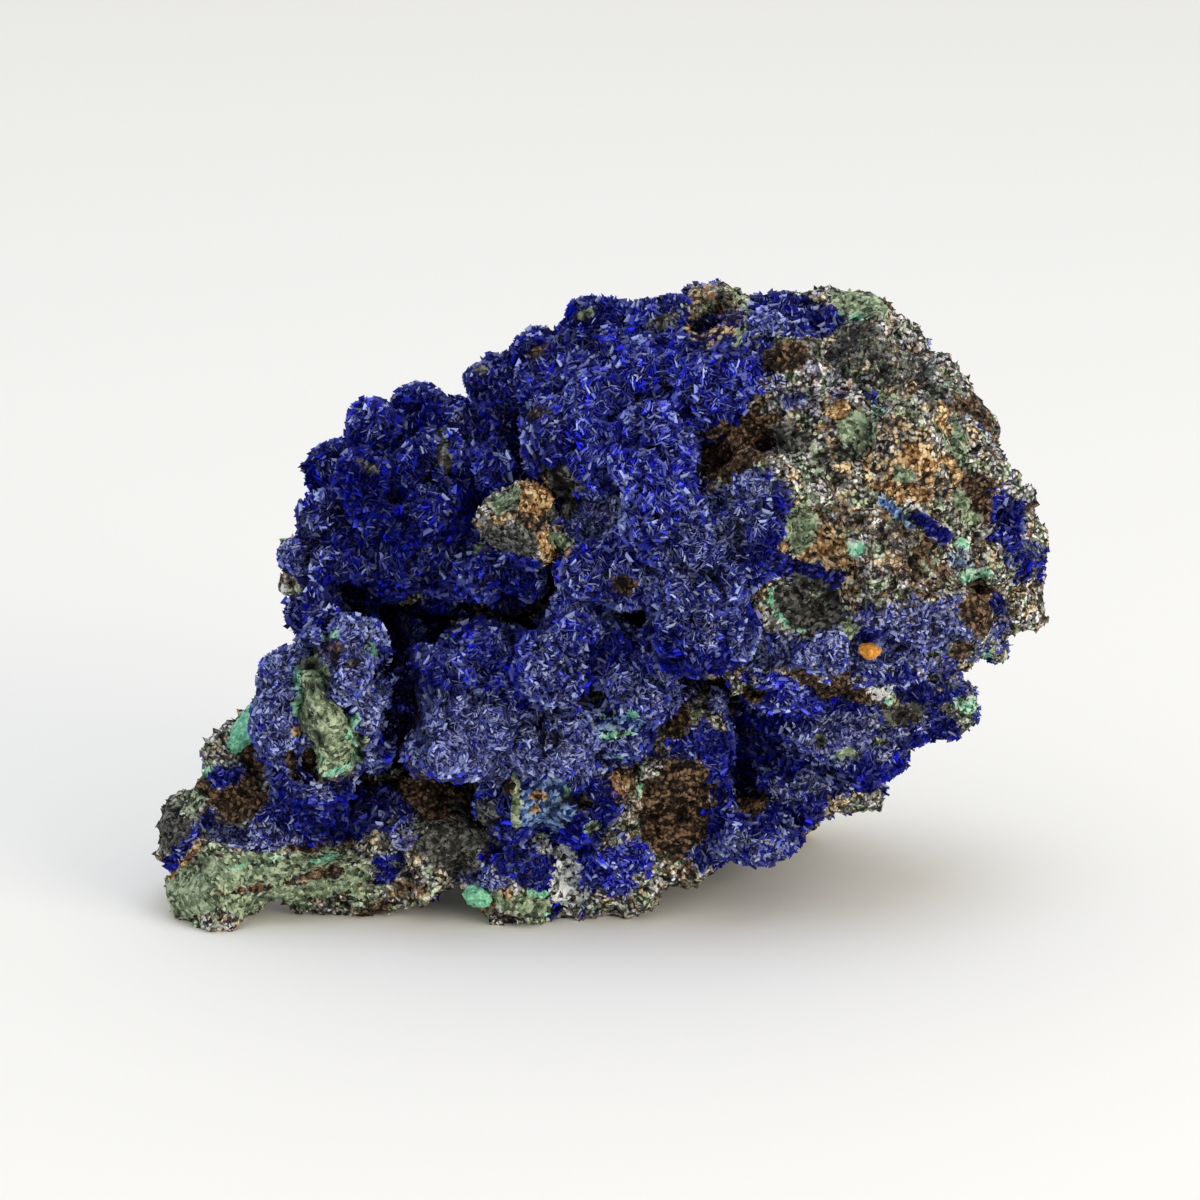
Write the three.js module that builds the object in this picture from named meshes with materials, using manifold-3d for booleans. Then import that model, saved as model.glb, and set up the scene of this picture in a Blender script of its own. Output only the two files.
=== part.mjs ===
// Azurite specimen: velvety lobes of azurite grown together on an iron-stained host rock,
// with a few raised pieces of malachite and limonite that stand on it by themselves.
// Millimetres. +Z is up, +X runs to the thick end and +Y away from the show side.
// The origin is under the middle of the specimen's box, on the surface that it rests on.
import * as THREE from "three";
import { ImprovedNoise } from "three/addons/math/ImprovedNoise.js";
import { mergeVertices } from "three/addons/utils/BufferGeometryUtils.js";
import Module from "manifold-3d";

// Driving dimensions. The lumps below are placed from a point on the resting surface, under
// the middle of the specimen's length.
const JOINT_GAP = 0.3; // clearance between two minerals
const GROUND_SIDE = 300; // of the block that levels the feet, wider than the specimen
const LOBE_FACET_AREA = 18; // mean facets, mm2
const ROCK_FACET_AREA = 60;
const BURIED_FACET_AREA = 170;
const CHIP_FACET_AREA = 4;
const MERGE_DISTANCE = 1e-4;

// Surface character: how high the bumps stand on a lump, and how far apart they are.
const SKIN = {
  lobe: { height: 2.4, spacing: 8 },
  rock: { height: 7, spacing: 12 },
  hollow: { height: 3, spacing: 8 },
  chip: { height: 1, spacing: 4 },
};
const CREASE_SHARE = 0.6; // depth of the creases between bumps, as a share of the height
const CREASE_PITCH = 2.1; // creases to a bump

const COLOURS = {
  azurite: 0x14219c,
  hostRock: 0x5b5040,
  malachite: 0x5fc39a,
  limonite: 0xc98a35,
};

const UP = new THREE.Vector3(0, 0, 1);
const wasm = await Module();
wasm.setup();
const noise = new ImprovedNoise();

// A lump is [x, y, z, half width, half depth, half height, turn about Z in degrees].
// The turn may be left out. Knobs cover a lump as far round from its show side as spread,
// in degrees.
const DOME = [-33.5, 3, 67.5, 13, 14, 13.5];
const DOME_KNOBS = { count: 14, radius: 5.8, spread: 115 };

const AZURITE_LOBES = {
  upperLeftDome: [
    DOME,
    [-23, 4, 76, 8, 10, 7.5],
    [-16.5, 0, 70.5, 8.5, 10, 11],
    [-22, -3, 57.5, 10, 11, 6],
    [-40, 0, 56.5, 12, 13, 6.5],
  ],
  leftKnob: [
    [-46.5, -9, 50, 8, 10, 6.5],
    [-50, -18, 43.5, 6.5, 9, 7.5],
    [-41, -19, 45, 7, 10, 7.5],
    [-52.5, -18, 33, 5, 8, 9],
    [-38, -18, 33.5, 5, 9, 9],
    [-47.5, -16, 24, 8, 8, 5.5],
  ],
  lowerLobes: [
    [-28.5, -22, 40, 8, 8.5, 8],
    [-25.5, -23, 30.5, 8.5, 8.5, 6.5],
    [-19, -13, 44, 9, 9, 5.5],
    [-16.5, -19, 35.5, 7.5, 8.5, 8],
    [-8, -26, 45, 6.5, 6.5, 7],
    [1, -19, 46, 7.5, 7.5, 6],
    [8, -22, 41.5, 8.5, 8.5, 7],
    [-7, -20, 32, 8.5, 9, 8],
    [3, -19, 33, 6, 8, 7],
    [-3.5, -22, 21.5, 7.5, 8, 7.5],
    [-14, -20, 21.5, 7.5, 8, 7],
  ],
  caveFloor: [[-30, -1, 45, 13, 8, 5.5]],
  centreBand: [
    [-3.5, -12, 79, 9, 9, 8],
    [8.5, -19, 79, 8, 9, 8],
    [10, -24, 69.5, 8, 8.5, 8.5],
    [16, -26, 60, 9, 8.5, 8.5],
    [4, -23, 60, 8.5, 7.5, 7],
    [1.5, -9, 87, 7.5, 8, 6.5],
    [16, -26, 50.5, 10, 8.5, 7],
    [-15, -16, 58, 7, 7.5, 6],
    [-4, -21, 52, 6, 7, 4.5],
    [-2.5, -17, 68, 6.5, 8, 7],
    [25, -28, 68, 6, 6.5, 7],
  ],
  upperRidge: [
    [-17, 3, 86, 6.5, 8, 6],
    [-9, 2, 90, 7.5, 9, 6.5],
    [0, 0, 94.5, 8, 9, 6.5],
    [9, 0, 95.5, 8, 9, 6],
    [-8, -4, 82, 8, 7.5, 7.5],
    [8, -8, 89.5, 8.5, 8, 7],
    [18, -13, 87, 7.5, 8, 8],
    [23.5, -10, 94, 11, 9, 7.5],
  ],
};

// Masses of the host rock that the azurite covers.
const BURIED_ROCK = [
  [2, 9, 68, 23, 18, 20],
  [-31, 8, 58, 15, 12, 19],
  [-41, 3, 26, 12, 12, 22],
  [-8, 2, 30, 22, 20, 26],
];

// Masses that show, from the thick end round to the feet.
const THICK_END = [37, 3, 65, 28, 31, 34];
const THICK_END_RUBBLE = { count: 26, radius: 8, spread: 125 };

const SHOWN_ROCK = {
  thickEnd: [
    THICK_END,
    [64, 4, 57, 9.5, 16, 14],
    [63, 0, 46, 9, 14, 9],
    [59, 2, 76, 9, 14, 10],
    [19.5, 2, 97.5, 8, 9, 7.5],
    [36, 0, 96, 16, 14, 7],
  ],
  back: [
    [2, 25, 65, 29, 17, 27],
    [-31, 19, 52, 20, 16, 23],
    [-10, 22, 27, 30, 17, 20],
    [31, 24, 33, 22, 18, 22],
  ],
  ledges: [
    [37, -15, 43, 25, 15, 5.5],
    [45, -2, 30, 16.5, 19, 7],
    [37, 1, 19.5, 13, 19, 6],
    [26, 2, 11.5, 11, 18, 6],
    [14, -8, 26, 10, 14, 15],
    [13, -9, 12, 9, 12, 8],
  ],
  thinEnd: [
    [-59.5, -4, 22, 7.5, 11, 13],
    [-66, -10, 13, 7.5, 9, 8],
    [-63, -16, 5, 10.5, 9, 7],
    [-45, -15, 6, 16, 10, 7],
    [-52, -9, 15, 13, 8, 8],
    [-58, -13, 10.5, 10, 8, 6.5],
    [-30, -11, 14, 13, 13, 14],
    [-46, -15, 33.5, 7, 14, 12],
  ],
  feet: [
    [-12, -18, 8, 11, 9, 10],
    [1, -17, 8, 10, 9, 10],
    [4, -9, 21, 9, 10, 9],
    [25, 28, 9.5, 16, 13, 16],
    [-38, 22, 8.5, 15, 12, 15],
  ],
  nose: [[-11.5, -14, 68, 6.5, 17, 6.5]],
};

const ROCK_HOLLOWS = [
  [-26, -14, 49, 20, 16, 4.5],
  [69, -11, 61, 6, 8, 6],
  [27, -27, 84, 5.5, 6, 5.5],
  [40, -26, 35, 16, 8, 3.5],
  [-27, -27, 19, 9, 8, 5],
];

// Broken faces: a point on each, the way that it faces, and how wide the break is.
const FRACTURES = [
  [[57, -4, 93], [0.72, 0.17, 0.69], 90],
  [[33, 0, 102.5], [0.06, 0.25, 0.97], 60],
  [[-45.5, -27, 34], [0.25, -0.95, 0.1], 22],
];

// Raised pieces that stand on the rock by themselves.
const CHIPS = {
  malachite_slab: { lump: [-61.8, -6, 29.5, 2.8, 3.4, 6, -25], colour: COLOURS.malachite },
  malachite_nodule: { lump: [-19.7, -21, 5.2, 3.1, 2.6, 2.3], colour: COLOURS.malachite },
  limonite_chip: { lump: [43.4, -27, 48.3, 2.5, 1.7, 1.6], colour: COLOURS.limonite },
};

// How far the surface stands out at a place. It is one field in space, so that the bumps
// of neighbouring lumps run into each other.
function bumpAt(place, skin) {
  const at = place.clone().divideScalar(skin.spacing);
  const broad = noise.noise(at.x, at.y, at.z);
  at.multiplyScalar(CREASE_PITCH);
  const crease = Math.abs(noise.noise(at.y, at.z, at.x));
  return skin.height * (broad - CREASE_SHARE * crease);
}

// An octahedron split to detail d has 8 (d + 1)^2 facets.
function detailFor(radius, facetArea) {
  const facets = (4 * Math.PI * radius ** 2) / facetArea;
  return Math.max(Math.round(Math.sqrt(facets / 8)) - 1, 1);
}

// A rough ellipsoid, with grow added all round.
function lump([x, y, z, halfX, halfY, halfZ, turn = 0], skin, facetArea, grow = 0) {
  const half = new THREE.Vector3(halfX, halfY, halfZ);
  const centre = new THREE.Vector3(x, y, z);
  const angle = THREE.MathUtils.degToRad(turn);
  const detail = detailFor((halfX + halfY + halfZ) / 3, facetArea);
  const geometry = closedFrom(new THREE.OctahedronGeometry(1, detail));
  const corners = geometry.getAttribute("position");
  for (let i = 0; i < corners.count; i += 1) {
    const direction = new THREE.Vector3().fromBufferAttribute(corners, i);
    const outward = direction.clone().divide(half).normalize().applyAxisAngle(UP, angle);
    const place = direction.multiply(half).applyAxisAngle(UP, angle).add(centre);
    place.addScaledVector(outward, bumpAt(place, skin) + grow);
    corners.setXYZ(i, place.x, place.y, place.z);
  }
  return solidOf(geometry);
}

// The geometry with its shared corners merged, so that it is one closed surface.
function closedFrom(geometry) {
  geometry.deleteAttribute("normal");
  geometry.deleteAttribute("uv");
  return mergeVertices(geometry, MERGE_DISTANCE);
}

function solidOf(geometry) {
  return new wasm.Manifold(
    new wasm.Mesh({
      numProp: 3,
      vertProperties: geometry.getAttribute("position").array,
      triVerts: new Uint32Array(geometry.index.array),
    }),
  );
}

function joined(solids) {
  return solids.reduce((whole, next) => whole.add(next));
}

// The solid without the crumbs that a cut leaves beside it.
function largestOf(solid) {
  const pieces = solid.decompose();
  return pieces.reduce((best, next) => (next.volume() > best.volume() ? next : best));
}

// A block whose near face is centred on the point, moved out by grow.
function blockBeyond(point, facing, side, grow = 0) {
  const block = new THREE.BoxGeometry(side, side, side);
  block.translate(0, 0, side / 2 + grow);
  const turn = new THREE.Quaternion();
  turn.setFromUnitVectors(UP, new THREE.Vector3(...facing).normalize());
  block.applyQuaternion(turn);
  block.translate(...point);
  return solidOf(closedFrom(block));
}

function hostRock(grow) {
  const buried = BURIED_ROCK.map((mass) => lump(mass, SKIN.rock, BURIED_FACET_AREA, grow));
  const rubble = knobsOn(THICK_END, THICK_END_RUBBLE);
  const masses = [...Object.values(SHOWN_ROCK).flat(), ...rubble];
  const shown = masses.map((mass) => lump(mass, SKIN.rock, ROCK_FACET_AREA, grow));
  const hollows = ROCK_HOLLOWS.map((hollow) => {
    return lump(hollow, SKIN.hollow, ROCK_FACET_AREA, -grow);
  });
  const broken = FRACTURES.map(([point, facing, width]) => {
    return blockBeyond(point, facing, width, grow);
  });
  return joined([...buried, ...shown]).subtract(joined([...hollows, ...broken]));
}

// Knobs spread evenly over a lump, along a spiral that starts at its show side.
function knobsOn([x, y, z, halfX, halfY, halfZ], { count, radius, spread }) {
  const goldenAngle = Math.PI * (3 - Math.sqrt(5));
  const reach = 1 - Math.cos(THREE.MathUtils.degToRad(spread));
  return Array.from({ length: count }, (_, i) => {
    const facing = 1 - (reach * (i + 0.5)) / count;
    const aside = Math.sqrt(1 - facing ** 2);
    const around = i * goldenAngle;
    return [
      x + halfX * aside * Math.cos(around),
      y - halfY * facing,
      z + halfZ * aside * Math.sin(around),
      radius,
      radius,
      radius,
    ];
  });
}

function azuriteCrust() {
  const lobes = [...Object.values(AZURITE_LOBES).flat(), ...knobsOn(DOME, DOME_KNOBS)];
  return joined(lobes.map((lobe) => lump(lobe, SKIN.lobe, LOBE_FACET_AREA)));
}

function meshOf(solid, name, colour, roughness) {
  const { vertProperties, triVerts } = solid.getMesh();
  const geometry = new THREE.BufferGeometry();
  geometry.setAttribute("position", new THREE.BufferAttribute(vertProperties, 3));
  geometry.setIndex(new THREE.BufferAttribute(triVerts, 1));
  const material = new THREE.MeshStandardMaterial({ color: colour, roughness, metalness: 0 });
  const mesh = new THREE.Mesh(geometry, material);
  mesh.name = name;
  return mesh;
}

// The specimen stands on the level z = 0, so what would be below that is cut away.
const ground = blockBeyond([0, 0, 0], [0, 0, -1], GROUND_SIDE);
const rock = largestOf(hostRock(0).subtract(ground));
const besideRock = hostRock(JOINT_GAP);

const specimen = new THREE.Group();
specimen.name = "azurite_specimen";
specimen.add(meshOf(rock, "host_rock", COLOURS.hostRock, 0.9));

let besideAll = besideRock;
for (const [name, chip] of Object.entries(CHIPS)) {
  const solid = lump(chip.lump, SKIN.chip, CHIP_FACET_AREA).subtract(besideRock);
  specimen.add(meshOf(solid, name, chip.colour, 0.6));
  besideAll = besideAll.add(lump(chip.lump, SKIN.chip, CHIP_FACET_AREA, JOINT_GAP));
}

const crust = largestOf(azuriteCrust().subtract(besideAll).subtract(ground));
specimen.add(meshOf(crust, "azurite_crust", COLOURS.azurite, 0.55));

const box = new THREE.Box3().setFromObject(specimen);
const middle = box.getCenter(new THREE.Vector3());
specimen.position.set(-middle.x, -middle.y, -box.min.z);

export default specimen;
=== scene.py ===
"""Azurite specimen: velvety blue crystal lobes grown on an iron-stained host rock.

The CAD solids give the lobes, ledges and feet. Here each gets a finely modelled skin in its
place, the lobes get their coat of upright crystal blades, and the rock its grains, stains
and veins. Everything is in metres, in the frame of the CAD model.
"""

from __future__ import annotations

import functools
import itertools
import logging
import math
from collections.abc import Iterable
from dataclasses import dataclass, field
from enum import Enum

import bpy
import numpy as np
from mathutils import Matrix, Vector
from mathutils.bvhtree import BVHTree


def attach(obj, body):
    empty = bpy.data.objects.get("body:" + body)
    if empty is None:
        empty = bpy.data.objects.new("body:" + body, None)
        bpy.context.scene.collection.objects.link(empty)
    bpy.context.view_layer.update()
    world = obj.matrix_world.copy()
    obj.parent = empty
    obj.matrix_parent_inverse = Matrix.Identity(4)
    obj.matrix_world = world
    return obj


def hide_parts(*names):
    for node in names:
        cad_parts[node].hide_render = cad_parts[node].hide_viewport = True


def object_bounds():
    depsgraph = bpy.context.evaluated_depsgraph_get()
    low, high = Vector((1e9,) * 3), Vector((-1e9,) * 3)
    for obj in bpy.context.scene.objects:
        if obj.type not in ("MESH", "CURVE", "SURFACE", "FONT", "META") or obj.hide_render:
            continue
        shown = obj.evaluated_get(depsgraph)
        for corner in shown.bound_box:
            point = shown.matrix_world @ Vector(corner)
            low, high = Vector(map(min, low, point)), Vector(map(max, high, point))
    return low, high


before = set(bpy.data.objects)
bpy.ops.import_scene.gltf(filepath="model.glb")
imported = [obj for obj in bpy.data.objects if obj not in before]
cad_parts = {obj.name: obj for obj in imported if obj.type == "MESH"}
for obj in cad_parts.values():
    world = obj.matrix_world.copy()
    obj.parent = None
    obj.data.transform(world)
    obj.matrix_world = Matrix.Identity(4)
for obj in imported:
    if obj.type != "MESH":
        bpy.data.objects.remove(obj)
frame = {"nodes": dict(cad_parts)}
CAD_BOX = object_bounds()

log = logging.getLogger("azurite_specimen")

MM = 0.001
BODY = "root"
# How far the specimen may go past the CAD model's box on each axis.
BOX_SPARE = (1.6 * MM, 0.9 * MM, 1.2 * MM)
Piece = bpy.types.Object
Socket = bpy.types.NodeSocket
Feed = bpy.types.NodeSocket | float | tuple[float, ...]
Colour = tuple[float, float, float]
Place = tuple[float, float, float]
Pixel = tuple[float, float]


class Mineral(Enum):
    """What a patch of the surface is. The value names the attribute that holds its share."""

    AZURITE = "azurite"
    ROYAL = "royal"
    DRUSE = "druse"
    TEAL = "teal"
    MALACHITE = "malachite"
    OLIVE = "olive"
    LIMONITE = "limonite"
    IRONSTONE = "ironstone"
    CHALK = "chalk"
    DARK = "dark"


MINERALS = list(Mineral)
AZURITE, ROYAL, DRUSE, TEAL, MALACHITE, OLIVE, LIMONITE, IRONSTONE, CHALK, DARK = MINERALS
BLUE = (AZURITE, ROYAL, DRUSE)

# How level the surface is where each mineral covers it. The others follow the relief.
LEVEL = {
    OLIVE: 0.75,
    MALACHITE: 0.7,
    TEAL: 0.6,
    DARK: 0.45,
    CHALK: 0.3,
}

# Colours of each mineral from its darkest speck to its palest, as screen values.
SPECKS: dict[Mineral, tuple[Colour, ...]] = {
    AZURITE: ((2, 2, 14), (6, 7, 62), (12, 16, 122), (66, 78, 196)),
    ROYAL: ((3, 3, 24), (8, 9, 100), (16, 20, 170), (84, 96, 214)),
    DRUSE: ((10, 10, 30), (38, 40, 98), (86, 92, 166), (186, 192, 228)),
    TEAL: ((14, 20, 48), (36, 62, 128), (76, 112, 174), (156, 184, 214)),
    MALACHITE: ((40, 100, 76), (94, 174, 140), (134, 206, 172), (198, 236, 216)),
    OLIVE: ((46, 52, 42), (94, 110, 88), (130, 148, 120), (182, 198, 166)),
    LIMONITE: ((44, 30, 18), (130, 92, 54), (186, 146, 98), (232, 206, 162)),
    IRONSTONE: ((7, 6, 5), (32, 27, 22), (72, 58, 46), (140, 112, 86)),
    CHALK: ((70, 80, 104), (146, 160, 176), (200, 212, 214), (250, 252, 250)),
    DARK: ((7, 7, 7), (36, 37, 36), (64, 66, 64), (118, 120, 118)),
}
# The skins' own grounds: one kind of crust, and grey, brown and olive rock.
CRUST = (SPECKS[AZURITE],)
ROCK = (
    ((10, 10, 12), (64, 64, 66), (148, 148, 152), (240, 241, 244)),
    ((10, 8, 6), (76, 63, 48), (156, 132, 98), (238, 214, 170)),
    ((12, 14, 10), (76, 86, 68), (140, 158, 130), (214, 234, 202)),
)
# The near-black of the painted shade in crevices and in the gaps between grains.
CREVICE_SHADE = (3, 3, 5)
# The value of the specks' noise at each of the four colours.
SPECK_STOPS = (0.33, 0.44, 0.56, 0.68)


@dataclass(frozen=True)
class Patch:
    """A stain, coat or plate on the show side.

    Attributes:
        mineral: What it is.
        pixel: Its middle in the photograph's frame.
        half: Half its width and half its height, in millimetres.
        turn: Degrees that it is turned, anticlockwise as seen.
        share: How much of the surface in it that mineral covers.
        rise: How far it stands out of the surface, in millimetres.
        rim: What lines its edge, if anything.
    """

    mineral: Mineral
    pixel: Pixel
    half: tuple[float, float]
    turn: float = 0.0
    share: float = 1.0
    rise: float = 0.0
    rim: Mineral | None = None


@dataclass(frozen=True)
class Stroke:
    """A stroke of a soft brush that moves the surface.

    Attributes:
        path: The pixels that it passes in the photograph's frame.
        radius: Reach of the brush, in millimetres.
        move: How far it pushes to the right, up and away from the eye, in millimetres.
        nodes: The CAD nodes whose skins it moves.
    """

    path: tuple[Pixel, ...]
    radius: float
    move: Place
    nodes: tuple[str, ...] = ("azurite_crust", "host_rock")


@dataclass(frozen=True)
class Pit:
    """A hole in the show side.

    Attributes:
        pixel: Its middle in the photograph's frame.
        radius: In millimetres.
        depth: In millimetres.
        lining: What its walls are.
    """

    pixel: Pixel
    radius: float
    depth: float
    lining: Mineral = DARK


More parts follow.
